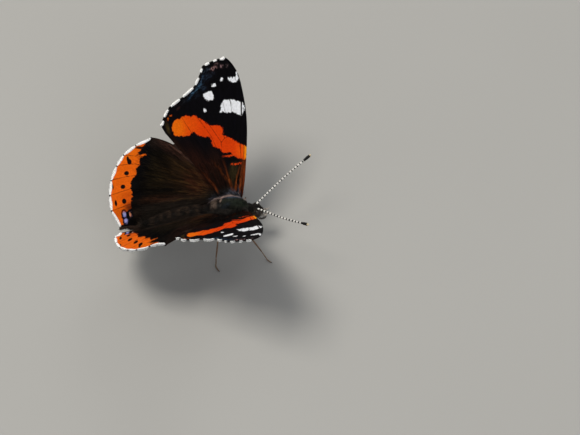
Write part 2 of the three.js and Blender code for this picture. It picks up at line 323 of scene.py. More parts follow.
# the outline, veins and bends of each wing, in its own plane
forewing = {
    "leading": [(3.3, 1.6), (4.6, 5.8), (5.8, 11.2), (6.8, 16.6), (7.25, 21), (7.2, 25.4), (6.75, 29.6),
                (5.7, 32.2), (4.6, 33.6)],
    "margin": [(4.45, 33.72), (2.9, 33.9), (1.2, 33.5), (-1.0, 32.8), (-1.95, 30.8), (-3.4, 28.5),
               (-6.6, 26.4), (-9.7, 24.7), (-11.5, 22.3), (-11.95, 20.6)],
    "trailing": [(-11.2, 18.9), (-9.5, 16.2), (-6.1, 10.2), (-1.5, 1.6)],
    "scallop": 0.12, "fringe": 0.42, "thick": 0.09, "focus": (1.2, -2.5), "grid": (150, 58),
    # painted shade on the right forewing's base: how much darker it is painted, and where that ends
    "paintedNearShade": 0.85, "paintedShadeReach": (14, 19),  # how much darker the right wing's base is, and where that ends
    "camber": 0.22, "camberFrom": -12, "camberLong": 19, "sink": 0.1,
    "veins": [
        [(1.5, 1.8), (1.4, 5.0), (-0.6, 9.0), (-3.4, 14.0), (-6.2, 19.9), (-7.1, 21.9), (-9.5, 24.4)],
        [(1.0, 9.4), (-0.2, 13.2), (-1.2, 16.8), (-3.2, 20.6), (-4.8, 23), (-6.5, 26.0)],
        [(0.6, 12.9), (0.85, 15.0), (-1.1, 19.2), (-2.2, 23), (-3.3, 28.1)],
        [(1.7, 15.8), (1.6, 18), (1.4, 21.4), (0.9, 25.5), (-0.4, 28.8), (-1.75, 30.5)],
        [(2.8, 16.2), (2.9, 18.2), (2.7, 22), (2.1, 27.5), (0.9, 31), (-0.8, 32.5)],
        [(3.6, 15.8), (3.9, 19), (4.25, 22.6), (4.0, 26), (3.5, 29), (2.3, 32), (1.2, 33.1)],
        [(4.1, 25), (4.4, 29), (3.9, 31.6), (2.9, 33.5)],
        [(4.8, 12), (5.5, 17.5), (6.2, 20.9), (6.65, 23.0), (6.45, 27), (5.5, 31), (4.6, 33.2)],
        [(2.9, 2.2), (3.9, 6.5), (5.5, 12), (6.6, 19), (7.0, 22)],
        [(-0.6, 1.8), (-1.6, 4.5), (-5.2, 10.6), (-8.6, 16.4), (-10.8, 19.8), (-11.3, 22.0)],
        [(2.0, 2.2), (3.0, 6.2), (4.6, 10.3), (4.9, 13.2), (4.4, 15.2), (3.6, 15.8), (2.8, 16.2), (1.7, 15.8),
         (0.85, 15.0)],
        [(1.75, 2.2), (1.5, 5.0), (1.0, 9.4), (0.6, 12.9)],
    ],
    "costa": (0.24, 0.1),  # radius of the front edge's strong vein, at the root and at the tip
}
hindwing = {
    "leading": [(-1.3, 2.4), (-3.6, 8.0), (-6.1, 12.1), (-9.4, 15.7), (-12.2, 17.6), (-14.6, 18.6)],
    "margin": [(-14.6, 18.6), (-18.3, 17.6), (-21.4, 15.9), (-23.4, 13.6), (-25.1, 10.5), (-25.9, 7.1),
               (-26.0, 3.5), (-24.4, -0.35)],
    "trailing": [(-24.4, -0.35), (-22.4, -0.35), (-20.5, -0.5), (-18, -0.6), (-16, -0.3), (-14, 0.3),
                 (-10, 1.3), (-4.1, 2.0)],
    "scallop": 0.2, "fringe": 0.45, "thick": 0.09, "focus": (1.5, 3.0), "grid": (140, 76),
    # painted shade: the right hindwing is painted darker nearly all over
    "paintedNearShade": 0.5, "paintedShadeReach": (26, 30),
    "hinge": (-2, 4), "along": (-0.64, 0.766), "lift": 0.68, "fall": 0.133, "bendFrom": 14, "bend": 0.41,
    "bendSoft": 2,
    # the inner edge folds down beside the abdomen, and the front edge dips under the forewing
    "fold": 1.1, "foldFrom": -22, "foldLong": 18, "foldWide": 4.5,
    "lip": 0.95, "lipWide": 2.2, "lipFrom": (4, 8),
    "veins": [
        [(-2.4, 3.6), (-4.5, 8.0), (-7.3, 12.1), (-11.0, 15.8), (-14.2, 18.2)],
        [(-2.5, 3.6), (-6, 8.4), (-10, 12.2), (-14.5, 15.6), (-18.0, 17.2)],
        [(-6.5, 8.8), (-11.2, 11.6), (-16.5, 14.4), (-21.0, 15.6)],
        [(-11.2, 11.6), (-12, 10.9), (-16, 12.4), (-20, 13.4), (-23.0, 13.5)],
        [(-12, 10.9), (-12.2, 9.8), (-16.5, 10.4), (-21, 10.7), (-24.7, 10.5)],
        [(-12.2, 9.8), (-11.5, 8.3), (-16, 8.2), (-21, 7.8), (-25.5, 7.1)],
        [(-2.6, 3.5), (-7, 6.8), (-11.5, 8.3)],
        [(-2.7, 3.4), (-8, 5.2), (-13, 5.6), (-19, 4.9), (-25.6, 3.6)],
        [(-2.8, 3.2), (-9, 3.8), (-15, 3.0), (-20.5, 1.5), (-24.1, -0.1)],
    ],
    "costa": (0.12, 0.07),
}
wings = {"forewing": forewing, "hindwing": hindwing}
rootBend = {"depth": 2.2, "reach": 9}
pleats = {"height": 0.1, "depth": 0.2, "wide": 1.5}
ribs = {"root": 0.13, "tip": 0.055, "reach": 26}  # radii of the veins, and how far out they are thinnest


def onWing(side, u, w, lift):
    c, s = math.cos(stance["rise"]), math.sin(stance["rise"])
    return toModel(np.stack([u, side * (w * c - lift * s), w * s + lift * c], -1))


def offWing(side, points):
    # plane coordinates of points in the model
    c, s = math.cos(stance["rise"]), math.sin(stance["rise"])
    u, y, z = (points - toModel((0, 0, 0))).T
    return np.stack([u, side * y * c + z * s], 1)


def marginLine(wing):
    # the outer edge through its vein ends, with a shallow wave between each two, drawn in by the fringe
    ends = np.array(wing["margin"], float)
    points = [ends[0]]
    for a, b in zip(ends, ends[1:]):
        inward = unit(np.array([a[1] - b[1], b[0] - a[0]])) * wing["scallop"]
        for k in range(1, spanSteps + 1):
            points.append(a + (b - a) * k / spanSteps + inward * math.sin(math.pi * k / spanSteps))
    line = np.array(points)
    inward = unit(np.gradient(line, axis=0))[:, ::-1] * (-1, 1)
    far = lengthsAlong(line)
    ease = np.clip(np.minimum(far, far[-1] - far) / 0.5 + 0.25, 0, 1)[:, None]  # less towards both its ends
    return line + inward * wing["fringe"] * ease


def nearestLine(places, lines):
    points = places.reshape(-1, 2)
    best = np.full(len(points), np.inf)
    for line in lines:
        line = np.array(line, float)
        a, ab = line[:-1], np.diff(line, axis=0)
        ap = points[:, None] - a[None]
        t = np.clip((ap * ab).sum(2) / np.maximum((ab ** 2).sum(1), 1e-9), 0, 1)
        best = np.minimum(best, np.linalg.norm(ap - t[..., None] * ab, axis=2).min(1))
    return best.reshape(places.shape[:-1])


def edgeDistance(points, outline):
    # millimetres to the nearest edge of a closed outline, negative inside it
    a = np.array(outline, float)
    b = np.roll(a, -1, 0)
    x, y = points[:, :1], points[:, 1:]
    crosses = (a[:, 1] > y) != (b[:, 1] > y)
    rise = np.where(b[:, 1] == a[:, 1], 1e-9, b[:, 1] - a[:, 1])
    inside = (crosses & (x < a[:, 0] + (y - a[:, 1]) * (b[:, 0] - a[:, 0]) / rise)).sum(1) % 2 == 1
    near = nearestLine(points, [np.vstack([a, a[:1]])])
    return np.where(inside, -near, near)


def hindwingLift(plane):
    u, w = plane[..., 0], plane[..., 1]
    du, dw = u - hindwing["hinge"][0], w - hindwing["hinge"][1]
    au, aw = hindwing["along"]
    over = np.maximum(du * au + dw * aw - hindwing["bendFrom"], 0)
    inside = np.maximum(dw * au - du * aw, 0)
    lengthwise = np.sin(math.pi * np.clip((u - hindwing["foldFrom"]) / hindwing["foldLong"], 0, 1))
    fold = hindwing["fold"] * lengthwise * np.maximum(1 - np.maximum(w, 0) / hindwing["foldWide"], 0) ** 2
    edge = nearestLine(plane, [hindwing["leading"]])
    lip = hindwing["lip"] * np.maximum(1 - edge / hindwing["lipWide"], 0) ** 2
    lip = lip * smooth(w, *hindwing["lipFrom"])
    bend = hindwing["bend"] * over ** 2 / (over + hindwing["bendSoft"])
    return hindwing["lift"] - hindwing["fall"] * inside - bend - (fold + lip)


def forewingLift(plane):
    arch = np.clip((plane[..., 0] - forewing["camberFrom"]) / forewing["camberLong"], 0, 1)
    return forewing["camber"] * np.sin(arch * math.pi) - forewing["sink"]


def wingLift(wing, plane):
    # height off the wing's plane: it lies lower between two veins, and every wing bends down to its root
    lift = (hindwingLift if wing is hindwing else forewingLift)(plane)
    sunk = np.minimum(nearestLine(plane, wing["veins"]) / pleats["wide"], 1) ** 1.3
    root = np.maximum(1 - np.hypot(plane[..., 0], plane[..., 1]) / rootBend["reach"], 0) ** 2
    return lift + (pleats["height"] - pleats["depth"] * sunk) - rootBend["depth"] * root


def forewingGrid():
    fine, (rows, steps) = 400, forewing["grid"]
    back = np.vstack([curveThrough(forewing["trailing"][::-1], 40), marginLine(forewing)[::-1]])
    back = evenSteps(back, rows)
    root, tip = back[0, 1], back[-1, 1]
    costa = curveThrough(forewing["leading"], fine)
    front = costa[np.clip((back[:, 1] - root) / (tip - root) * fine, 0, fine).astype(int)]
    return across(back, front, steps)


def hindwingGrid():
    margin, (rows, steps) = marginLine(hindwing), hindwing["grid"]
    half = 4 * spanSteps + 1  # the vein ends up to the fifth belong to the front edge of the grid
    front = evenSteps(np.vstack([curveThrough(hindwing["leading"], 40), margin[1:half]]), rows)
    back = evenSteps(np.vstack([curveThrough(hindwing["trailing"][::-1], 40), margin[half:-1][::-1]]), rows)
    return across(back, front, steps)


def across(back, front, steps):
    return mix(back[:, None], front[:, None], np.linspace(0, 1, steps + 1)[None, :, None])


# Markings, as outlines, lines, and dots with a middle and two half widths. A patch is its middle, its two
# half widths, the lean of its long axis, its colour and how much of it shows.
forewing.update({
    "bar": [(1.65, 21.76), (1.75, 22.46), (1.95, 22.86), (2.05, 23.46), (2.35, 23.96), (3, 24.31),
            (3.9, 24.36), (4.3, 24.36), (5, 24.16), (5.7, 23.76), (6.3, 23.46), (6.9, 23.16), (7.25, 22.46),
            (7.1, 21.36), (6.6, 20.86), (6.2, 20.26), (5.6, 20.56), (4.9, 21.06), (4.4, 21.41),
            (3.7, 21.31), (2.95, 21.36), (2.6, 21.66), (2.2, 21.81)],
    "spot": [(-1.6, 25.66), (-1.45, 26.46), (-0.6, 26.66), (-0.1, 26.86), (0.45, 26.66), (0.65, 25.76),
             (0.75, 24.96), (0.4, 24.61), (0, 24.76), (-0.6, 24.61), (-1.3, 24.96)],
    "tipMark": [(4.4, 29.06), (4.55, 28.6), (5.0, 28.2), (5.45, 27.8), (5.9, 27.86), (6.6, 28.16),
                (6.85, 28.96), (6.6, 30.36), (6.35, 29.95), (6.15, 29.3), (5.95, 29.0), (5.75, 29.45),
                (5.5, 28.9), (5.15, 29.3), (4.9, 28.85), (4.6, 29.35)],
    "band": [(-9.6, 19.96), (-9.3, 20.76), (-8.9, 21.26), (-8.4, 21.56), (-7.6, 21.71), (-7, 21.96),
             (-6.2, 22.11), (-5.5, 21.96), (-4.9, 21.61), (-4.5, 22.01), (-3.9, 21.86), (-3.6, 21.46),
             (-3.1, 20.96), (-2.6, 20.56), (-2.2, 20.16), (-1.5, 19.46), (-1.1, 19.16), (-0.5, 19.06),
             (0.2, 18.96), (1.3, 18.71), (1.5, 18.46), (1.65, 17.76), (1.55, 17.16), (1.4, 16.66),
             (2, 16.26), (3, 15.76), (4, 14.86), (5, 14.06), (5.9, 13.66), (6.3, 13.16), (6.25, 12.06),
             (6, 10.86), (5.5, 10.46), (4.8, 10.76), (4, 11.06), (3.4, 11.56), (2.9, 12.16), (2.7, 12.46),
             (1.9, 12.56), (0.9, 12.66), (0.6, 13.06), (0.5, 13.56), (-0.3, 14.06), (-1, 14.46),
             (-1.2, 15.06), (-1.3, 16.06), (-1.25, 16.56), (-2, 16.71), (-2.9, 16.86), (-3.6, 17.16),
             (-4.3, 17.76), (-4.9, 18.36), (-5.4, 18.06), (-5.9, 17.61), (-6.8, 17.66), (-7.8, 17.76),
             (-8.3, 17.71), (-9, 18.06), (-9.4, 18.36), (-9.3, 18.96), (-9.55, 19.36)],
    "dots": [(1.1, 27.96, 0.44, 0.44), (2.95, 28.96, 0.33, 0.33), (-1.7, 22.76, 0.34, 0.38),
             (1.85, 21.9, 0.3, 0.3)],
    "wedges": [[(3.8, 24.9), (4.25, 24.9), (4.42, 22.3)],
               [(6.45, 23.6), (6.85, 23.6), (6.35, 20.3), (6.08, 20.3)]],
    "strokes": [[(-10.25, 21.9), (-9.8, 22.4), (-9.1, 22.75)], [(-10.45, 21.2), (-10.3, 21.6)]],
    "redLines": [[(0.9, 11.9), (2.0, 11.75), (3.0, 11.8)], [(2.5, 9.9), (3.6, 9.75), (4.6, 9.9)]],
    "blueLines": [[(3.9, 17.5), (5.3, 17.3), (6.5, 16.7)], [(2.0, 9.3), (3.2, 8.9), (4.6, 8.6)]],
    "ground": "#040306", "markings": "#dc3f04", "groundUnder": "#0d090a", "markingsUnder": "#c23a1c",
    "white": "#eceef2", "whiteUnder": "#dedfdb", "whiteTrim": 0.06, "bandTrimUnder": 0.3, "veinWide": 0.045,
    "strokeWide": 0.08, "lineWide": 0.16, "dustTint": (1.1, 0.85, 0.7, 1), "dustShare": 0.4,
    # colour, strength and width of the orange-brown hair scales on the veins of the root third
    "litVeins": ("#7d3c14", 0.75, 0.15),
    "marbleTip": 0.8, "marbleRear": 0.35,
    "patches": [
        (-4.0, 9.2, 2.6, 6.8, 29, "#200c05", 0.95), (-0.6, 8.5, 1.7, 5.0, 8, "#210f08", 0.9),
        (2.5, 7.6, 1.0, 3.4, -12, "#2a2210", 0.95), (4.9, 7.2, 0.6, 4.6, -12, "#6c2d0c", 0.95),
        (-8.8, 15.0, 0.9, 3.2, 29, "#201008", 0.85), (-10.5, 20.0, 0.35, 1.3, 8, "#3f3014", 0.8),
        (-7.5, 24.0, 0.45, 0.25, 50, "#33201f", 0.8), (3.1, 10.9, 1.9, 0.75, 0, "#040304", 1.0),
    ],
    # pinkish and blue dusting along the outer edge, towards the tip
    "dust": [
        (1.4, 31.6, 0.6, 0.32, 20, "#c4a8b4", 0.9), (2.1, 31.9, 0.4, 0.25, -20, "#a58f9c", 0.8),
        (3.3, 31.9, 0.5, 0.3, 0, "#9c8b9c", 0.9), (4.7, 31.8, 0.35, 0.35, 0, "#7c7684", 0.8),
        (2.4, 32.6, 0.5, 0.25, 0, "#6a5c66", 0.8), (0.3, 31.6, 0.6, 0.35, 10, "#3c5068", 0.9),
        (-0.8, 31.2, 0.5, 0.4, 0, "#33475e", 0.9), (-0.9, 30.2, 0.4, 0.5, 0, "#2c4666", 0.9),
        (-1.4, 29.3, 0.45, 0.6, 0, "#3a5a80", 0.9), (-0.1, 30.0, 0.9, 0.8, 0, "#1f2f45", 0.9),
        (0.9, 30.6, 0.9, 0.6, 0, "#1c2536", 0.8), (-2.0, 28.3, 0.6, 0.45, 40, "#4878a8", 0.9),
        (-3.0, 27.5, 0.65, 0.4, 40, "#3a6488", 0.9), (-1.4, 27.9, 0.7, 0.8, 20, "#22344c", 0.9),
        (-3.9, 26.8, 0.55, 0.35, 40, "#335a80", 0.9), (-4.8, 25.8, 0.6, 0.35, 50, "#2c4a6c", 0.8),
        (-2.9, 26.2, 0.9, 0.6, 40, "#182434", 0.8), (-6.3, 25.2, 0.6, 0.35, 50, "#2a3444", 0.8),
    ],
    "markPatches": [
        (-8.5, 19.8, 2.4, 3.0, 0, "#e86a06", 1.0), (-5.2, 20.0, 1.8, 2.4, 0, "#e35205", 0.7),
        (6.3, 11.9, 0.75, 2.4, -8, "#f8b21c", 1.0), (4.9, 12.2, 1.1, 2.2, 0, "#ee5a08", 0.6),
        (-9.8, 22.1, 0.9, 0.9, 0, "#96480f", 1.0), (2.6, 10.6, 1.9, 1.2, 0, "#c23a0a", 1.0),
    ],
    "patchesUnder": [
        (3.5, 31.0, 5.0, 3.0, 0, "#6b5a48", 0.85), (-4.5, 27.0, 3.0, 2.0, 45, "#43372d", 0.8),
        (4.8, 6.5, 1.2, 5.5, -10, "#6e5146", 0.8), (2.4, 7.5, 1.4, 3.5, -12, "#5a2a1c", 0.8),
        (-4.5, 9.0, 3.0, 6.5, 29, "#46352a", 0.8), (-9.5, 19.0, 1.2, 4.0, 15, "#4f3f30", 0.8),
    ],
    "markPatchesUnder": [
        (-8.5, 19.8, 2.6, 3.0, 0, "#c8702c", 1.0), (6.0, 12.2, 1.6, 2.4, 0, "#e8a08a", 0.9),
        (5.2, 17.2, 2.2, 0.9, 0, "#5877b8", 1.0),
        (3.2, 8.9, 2.2, 0.8, 0, "#6c86b8", 1.0),
    ],
})
hindwing.update({
    "bandInner": [(-16, 17.26), (-16.6, 16.86), (-17, 16.46), (-17.2, 16.06), (-17.9, 15.76), (-18, 15.36),
                  (-18.5, 15.01), (-18.4, 15.01), (-17, 15.11), (-16.1, 15.01), (-16.2, 14.76),
                  (-17.1, 14.46), (-17.6, 14.51), (-17.8, 14.16), (-17.9, 13.46), (-17.75, 12.86),
                  (-18.3, 12.46), (-18.9, 12.16), (-18.9, 10.86), (-19.5, 10.36), (-20.2, 9.66),
                  (-20.6, 9.16), (-20.5, 8.56), (-20.8, 7.96), (-20.4, 7.06), (-20.7, 6.46), (-20.6, 5.96),
                  (-20.9, 5.56), (-21.2, 4.46), (-21.2, 3.5), (-22.2, 3.1), (-23.5, 2.7), (-23.6, 1.2),
                  (-23.4, 0.3)],
    "bandOuter": [(-25.5, -0.6), (-27.5, 3.5), (-27.2, 7.5), (-26.4, 11), (-24.6, 14.4), (-22.4, 17),
                  (-18.8, 18.5), (-16.4, 18.4)],
    "dots": [(-20.1, 13.9, 0.42, 0.56), (-20.35, 14.5, 0.2, 0.5), (-21.1, 11.46, 0.46, 0.42),
             (-22.35, 8.56, 0.46, 0.42), (-22.55, 5.31, 0.42, 0.5), (-24.45, 5.16, 0.2, 0.5),
             (-24.6, 8.9, 0.08, 0.3), (-23.9, 12.1, 0.08, 0.3)],
    "wedge": [(-18.9, 16.95), (-17.6, 16.4), (-16.7, 16.2), (-16.6, 16.75), (-17.7, 16.85)],
    "spots": [(-22.95, 2.45, 0.44, 0.72), (-22.8, 0.85, 0.46, 0.66), (-21.65, 2.2, 0.26, 0.6)],
    "spotPatches": [(-22.95, 2.6, 0.3, 0.42, 0, "#b9bbe2", 0.9), (-22.8, 0.9, 0.3, 0.4, 0, "#a9abda", 0.9),
                    (-21.65, 2.2, 0.4, 0.9, 0, "#c07a4c", 1.0)],
    "ground": "#070504", "markings": "#e0600a", "groundUnder": "#241a14", "markingsUnder": "#4d3b28",
    "black": "#040304", "zone": 0.95, "lavender": "#7d7cba", "veinWide": 0.055, "dotGrow": 0.07,
    "rimWide": 0.24, "litVeins": ("#5a4120", 0.28, 0.13), "ocellusRing": (0.06, 0.1),
    # the two narrow pale streaks along the front edge, at (-8.4, 14.3) and (-6.2, 11.6), are a painted
    # highlight where the edge catches the light
    "patches": [
        (-13.0, 9.8, 4.0, 4.6, 0, "#171107", 0.95), (-8.0, 9.0, 3.4, 4.4, 45, "#231609", 0.85),
        (-9.6, 14.4, 1.0, 5.2, 49, "#2e1c16", 0.95), (-13.8, 17.0, 1.2, 1.6, 49, "#1f1510", 0.8),
        (-8.4, 14.3, 0.28, 2.4, 47, "#6a4c40", 0.8), (-6.2, 11.6, 0.28, 2.6, 40, "#4c342a", 0.7),
        (-5.0, 6.5, 2.4, 3.0, 20, "#33190c", 0.8), (-13.5, 4.4, 0.9, 6.0, 86, "#2a180e", 0.9),
        (-12.5, 2.9, 0.9, 7.0, 90, "#191410", 0.9), (-20.0, 2.2, 1.0, 2.4, 80, "#1b120b", 0.9),
    ],
    "markPatches": [
        (-21.4, 3.9, 1.3, 1.1, 0, "#6a280a", 1.0), (-21.6, 6.0, 1.4, 1.6, 0, "#cc4f0a", 0.7),
        (-19.5, 15.5, 2.0, 1.5, 30, "#d86408", 0.8),
    ],
    "patchesUnder": [
        (-8.0, 8.0, 4.0, 5.0, 40, "#35261c", 0.8), (-12.0, 4.0, 2.0, 7.0, 90, "#5b4838", 0.8),
        (-20.5, 9.5, 1.7, 7.5, 12, "#5a4a34", 0.75), (-15.5, 9.8, 1.8, 4.4, 10, "#191210", 0.8),
        (-9.6, 14.6, 1.2, 1.6, 49, "#b7a184", 0.95), (-5.0, 5.0, 1.6, 2.4, 20, "#161010", 0.8),
        (-17.5, 16.5, 1.5, 1.2, 60, "#8d7458", 0.7),
    ],
    "markPatchesUnder": [
        (-19.6, 13.9, 0.9, 0.9, 0, "#6c6a52", 1.0), (-20.7, 11.4, 0.9, 0.9, 0, "#5c6660", 1.0),
        (-21.7, 8.5, 0.9, 0.9, 0, "#6c6a52", 1.0), (-21.9, 5.3, 0.9, 0.9, 0, "#5a6a78", 1.0),
    ],
    "ocelli": [(-19.6, 13.9, 0.62, 0.72), (-20.7, 11.4, 0.6, 0.66), (-21.7, 8.5, 0.62, 0.66),
               (-21.9, 5.3, 0.66, 0.7)],
})


def blendPatches(places, ground, patches):
    # soft patches of colour laid over a ground
    colour = np.tile(toLinear(ground), (len(places), 1))
    for u, w, wide, long, lean, tint, share in patches:
        du, dw, turn = places[:, 0] - u, places[:, 1] - w, math.radians(lean)
        a = (du * math.cos(turn) + dw * math.sin(turn)) / wide
        b = (-du * math.sin(turn) + dw * math.cos(turn)) / long
        colour = mix(colour, toLinear(tint), (share * np.exp(-(a * a + b * b) ** 1.5))[:, None])
    return colour


def ovals(plane, shapes):
    # millimetres to the nearest of some ovals, negative inside them
    u, w = plane.T
    return np.min([(np.hypot((u - mu) / a, (w - mw) / b) - 1) * min(a, b) for mu, mw, a, b in shapes], 0)


def lightVeins(tone, veins, finish, where):
    tint, strength, wide = finish
    return mix(tone, toLinear(tint), strength * (np.exp(-(veins / wide) ** 2) * where)[:, None])


def forewingPattern(plane):
    u, w = plane.T
    veins = nearestLine(plane, forewing["veins"])
    white = np.min([edgeDistance(plane, forewing[k]) for k in ("bar", "spot", "tipMark")], 0)
    white = np.minimum(white + forewing["whiteTrim"], ovals(plane, forewing["dots"]))
    band = edgeDistance(plane, forewing["band"])
    strokes = nearestLine(plane, forewing["strokes"]) - forewing["strokeWide"]
    red, blue = [nearestLine(plane, forewing[k]) - forewing["lineWide"] for k in ("redLines", "blueLines")]
    wedges = np.min([edgeDistance(plane, wedge) for wedge in forewing["wedges"]], 0)
    tone = blendPatches(plane, forewing["ground"], forewing["patches"])
    dusted = blendPatches(plane, forewing["ground"], forewing["dust"]) * np.array(forewing["dustTint"])
    tone = np.maximum(tone, dusted * (dice.random((len(plane), 1)) < forewing["dustShare"]))
    tone = lightVeins(tone, veins, forewing["litVeins"], (1 - smooth(w, 5, 12.5)) * smooth(u, -6, 0))
    whiter = (white < np.minimum(band, strokes))[:, None]
    mark = blendPatches(plane, forewing["markings"], forewing["markPatches"])
    markUnder = blendPatches(plane, forewing["markingsUnder"], forewing["markPatchesUnder"])
    rear = 1 - smooth(u * 0.5 + 9 - w * 0.4, -2, 6)  # 1 along the rear edge, 0 over the front
    return {
        "tone": tone,
        "mark": np.where(whiter, toLinear(forewing["white"]), mark),
        "markEdge": np.min([white, band, strokes, red], 0),
        "darkEdge": np.minimum(veins - forewing["veinWide"], wedges),
        "toneUnder": blendPatches(plane, forewing["groundUnder"], forewing["patchesUnder"]),
        "markUnder": np.where(whiter, toLinear(forewing["whiteUnder"]), markUnder),
        "markEdgeUnder": np.min([white, band + forewing["bandTrimUnder"], blue], 0),
        "darkEdgeUnder": veins - forewing["veinWide"],
        "marble": forewing["marbleTip"] * smooth(w, 24, 31) + forewing["marbleRear"] * rear,
    }


def hindwingPattern(plane):
    u, w = plane.T
    veins = nearestLine(plane, hindwing["veins"])
    band = edgeDistance(plane, hindwing["bandInner"] + hindwing["bandOuter"])
    spots = ovals(plane, hindwing["spots"])
    dots = ovals(plane, hindwing["dots"]) - hindwing["dotGrow"]
    tone = blendPatches(plane, hindwing["ground"], hindwing["patches"])
    # black round the dots and spots and in a zone inside the orange band, which is widest towards the front
    zone = (1 - smooth(band, 0.7 + 0.09 * w, 1.6 + 0.2 * w)) * smooth(u, -14, -16) * smooth(w, 3.5, 7)
    near = 1 - smooth(np.minimum(spots, dots), 0.25, 0.7)
    tone = mix(tone, toLinear(hindwing["black"]), np.maximum(zone * hindwing["zone"], near)[:, None])
    # a few veins show as thin golden brown lines over the root half
    tone = lightVeins(tone, veins, hindwing["litVeins"], 1 - smooth(np.hypot(u, w - 3), 7, 17))
    spotTone = blendPatches(plane, hindwing["lavender"], hindwing["spotPatches"])
    bandTone = blendPatches(plane, hindwing["markings"], hindwing["markPatches"])
    rim = np.maximum(spots - hindwing["rimWide"], -spots)
    wedge = edgeDistance(plane, hindwing["wedge"])
    ocelli, (ringAt, ringWide) = ovals(plane, hindwing["ocelli"]), hindwing["ocellusRing"]
    return {
        "tone": tone,
        "mark": np.where((spots < band)[:, None], spotTone, bandTone),
        "markEdge": np.minimum(band, spots),
        "darkEdge": np.min([veins - hindwing["veinWide"], rim, dots, wedge], 0),
        "toneUnder": blendPatches(plane, hindwing["groundUnder"], hindwing["patchesUnder"]),
        "markUnder": blendPatches(plane, hindwing["markingsUnder"], hindwing["markPatchesUnder"]),
        "markEdgeUnder": ocelli, "darkEdgeUnder": np.abs(ocelli - ringAt) - ringWide,
        "marble": np.ones(len(plane)),
    }


def wingPattern(wing, plane):
    return (hindwingPattern if wing is hindwing else forewingPattern)(plane)


wingScales = {
    "row": 0.2,  # a scale is 0.1 mm wide; drawn twice as coarse so that the grain shows
    "ragged": 1.2,  # how far scales stray over the edge of a marking
    "streaks": (2.6, 0.28, 1), "teeth": (4.2, 1.5, 1),  # per millimetre across and along their lie
    "dark": "#0c0605", "roughness": 0.75, "specular": 0.05, "relief": 0.35, "height": 0.1,
    "marbleSize": 1.333, "marbleShare": 0.62,
    "bark": [(0.3, "#0e0a09"), (0.68, "#8f7d68"), (0.44, "#35271f"), (0.52, "#5f4a39"), (0.56, "#1d1512")],
}


def wingMaterial(name, face):
    # chitin scales laid like roof tiles: matt, streaked along the rows, with ragged edges to every marking
    material, tree = newMaterial(name)
    lie = addNode(tree, "ShaderNodeUVMap", out=0, uv_map="lie")
    plane = addNode(tree, "ShaderNodeUVMap", out=0, uv_map="plane")
    tone, mark, markEdge, darkEdge = [addNode(tree, "ShaderNodeAttribute", attribute_name=n + face)
                                      for n in ("tone", "mark", "markEdge", "darkEdge")]
    # streaks shade the ground, and finer teeth move the edges of the markings
    along = addNode(tree, "ShaderNodeMapping", {"Vector": lie, "Scale": wingScales["streaks"]}, 0)
    streaks = addNode(tree, "ShaderNodeTexNoise", {
        "Vector": along, "Scale": 1.0, "Detail": 4.0, "Roughness": 0.65}, 0)
    along = addNode(tree, "ShaderNodeMapping", {"Vector": lie, "Scale": wingScales["teeth"]}, 0)
    teeth = addNode(tree, "ShaderNodeTexNoise", {
        "Vector": along, "Scale": 1.0, "Detail": 3.0, "Roughness": 0.7}, 0)
    stray = addNode(tree, "ShaderNodeMath", {0: teeth, 1: 0.5}, 0, operation="SUBTRACT")
    stray = addNode(tree, "ShaderNodeMath", {
        0: stray, 1: wingScales["ragged"], 2: markEdge.outputs["Fac"]}, 0, operation="MULTIPLY_ADD")
    inMark = addNode(tree, "ShaderNodeMapRange", {0: stray, 1: 0.06, 2: -0.05, 3: 0.0, 4: 1.0}, 0)
    thin = addNode(tree, "ShaderNodeMath", {0: teeth, 1: 0.12, 2: darkEdge.outputs["Fac"]}, 0,
                   operation="MULTIPLY_ADD")
    inDark = addNode(tree, "ShaderNodeMapRange", {0: thin, 1: 0.12, 2: 0.02}, 0)
    inDark = addNode(tree, "ShaderNodeMath", {0: inDark, 1: inMark}, 0, operation="MULTIPLY")
    # every scale has its own shade, stronger on the ground than on the markings
    cells = addNode(tree, "ShaderNodeTexVoronoi", {"Vector": plane, "Scale": 1 / wingScales["row"]})
    grain = addNode(tree, "ShaderNodeSeparateColor", {0: cells.outputs["Color"]}, 0)
    brightness = addNode(tree, "ShaderNodeMapRange", {0: streaks, 1: 0.3, 2: 0.72, 3: 0.45, 4: 1.5}, 0)
    grainShade = addNode(tree, "ShaderNodeMapRange", {0: grain, 3: 0.72, 4: 1.3}, 0)
    shade = addNode(tree, "ShaderNodeMath", {0: brightness, 1: grainShade}, 0, operation="MULTIPLY")
    ground = addNode(tree, "ShaderNodeVectorMath", {0: tone.outputs["Color"], "Scale": shade}, 0,
                     operation="SCALE")
    shade = addNode(tree, "ShaderNodeMapRange", {0: grain, 3: 0.86, 4: 1.08}, 0)
    marking = addNode(tree, "ShaderNodeVectorMath", {0: mark.outputs["Color"], "Scale": shade}, 0,
                      operation="SCALE")
    if face:
        # the underside is marbled bark brown: the tones wander over each other between the markings
        bark = addNode(tree, "ShaderNodeTexNoise", {
            "Vector": plane, "Scale": 1 / wingScales["marbleSize"], "Detail": 5.0, "Distortion": 1.6}, 0)
        tones = addNode(tree, "ShaderNodeValToRGB", {0: bark}, 0, stops=wingScales["bark"])
        share = addNode(tree, "ShaderNodeAttribute", out="Fac", attribute_name="marble")
        share = addNode(tree, "ShaderNodeMath", {0: share, 1: wingScales["marbleShare"]}, 0,
                        operation="MULTIPLY")
        ground = addNode(tree, "ShaderNodeMix", {0: share, 6: ground, 7: tones}, 2, data_type="RGBA")
    colour = addNode(tree, "ShaderNodeMix", {0: inMark, 6: ground, 7: marking}, 2, data_type="RGBA")
    colour = addNode(tree, "ShaderNodeMix", {0: inDark, 6: colour, 7: wingScales["dark"]}, 2,
                     data_type="RGBA")
    height = addNode(tree, "ShaderNodeMath", {0: cells.outputs["Distance"], 1: streaks}, 0, operation="ADD")
    relief = addNode(tree, "ShaderNodeBump", {
        "Height": height, "Strength": wingScales["relief"], "Distance": wingScales["height"] * metre}, 0)
    finishMaterial(tree, {"Base Color": colour, "Roughness": wingScales["roughness"],
                          "Specular IOR Level": wingScales["specular"], "Normal": relief})
    return material


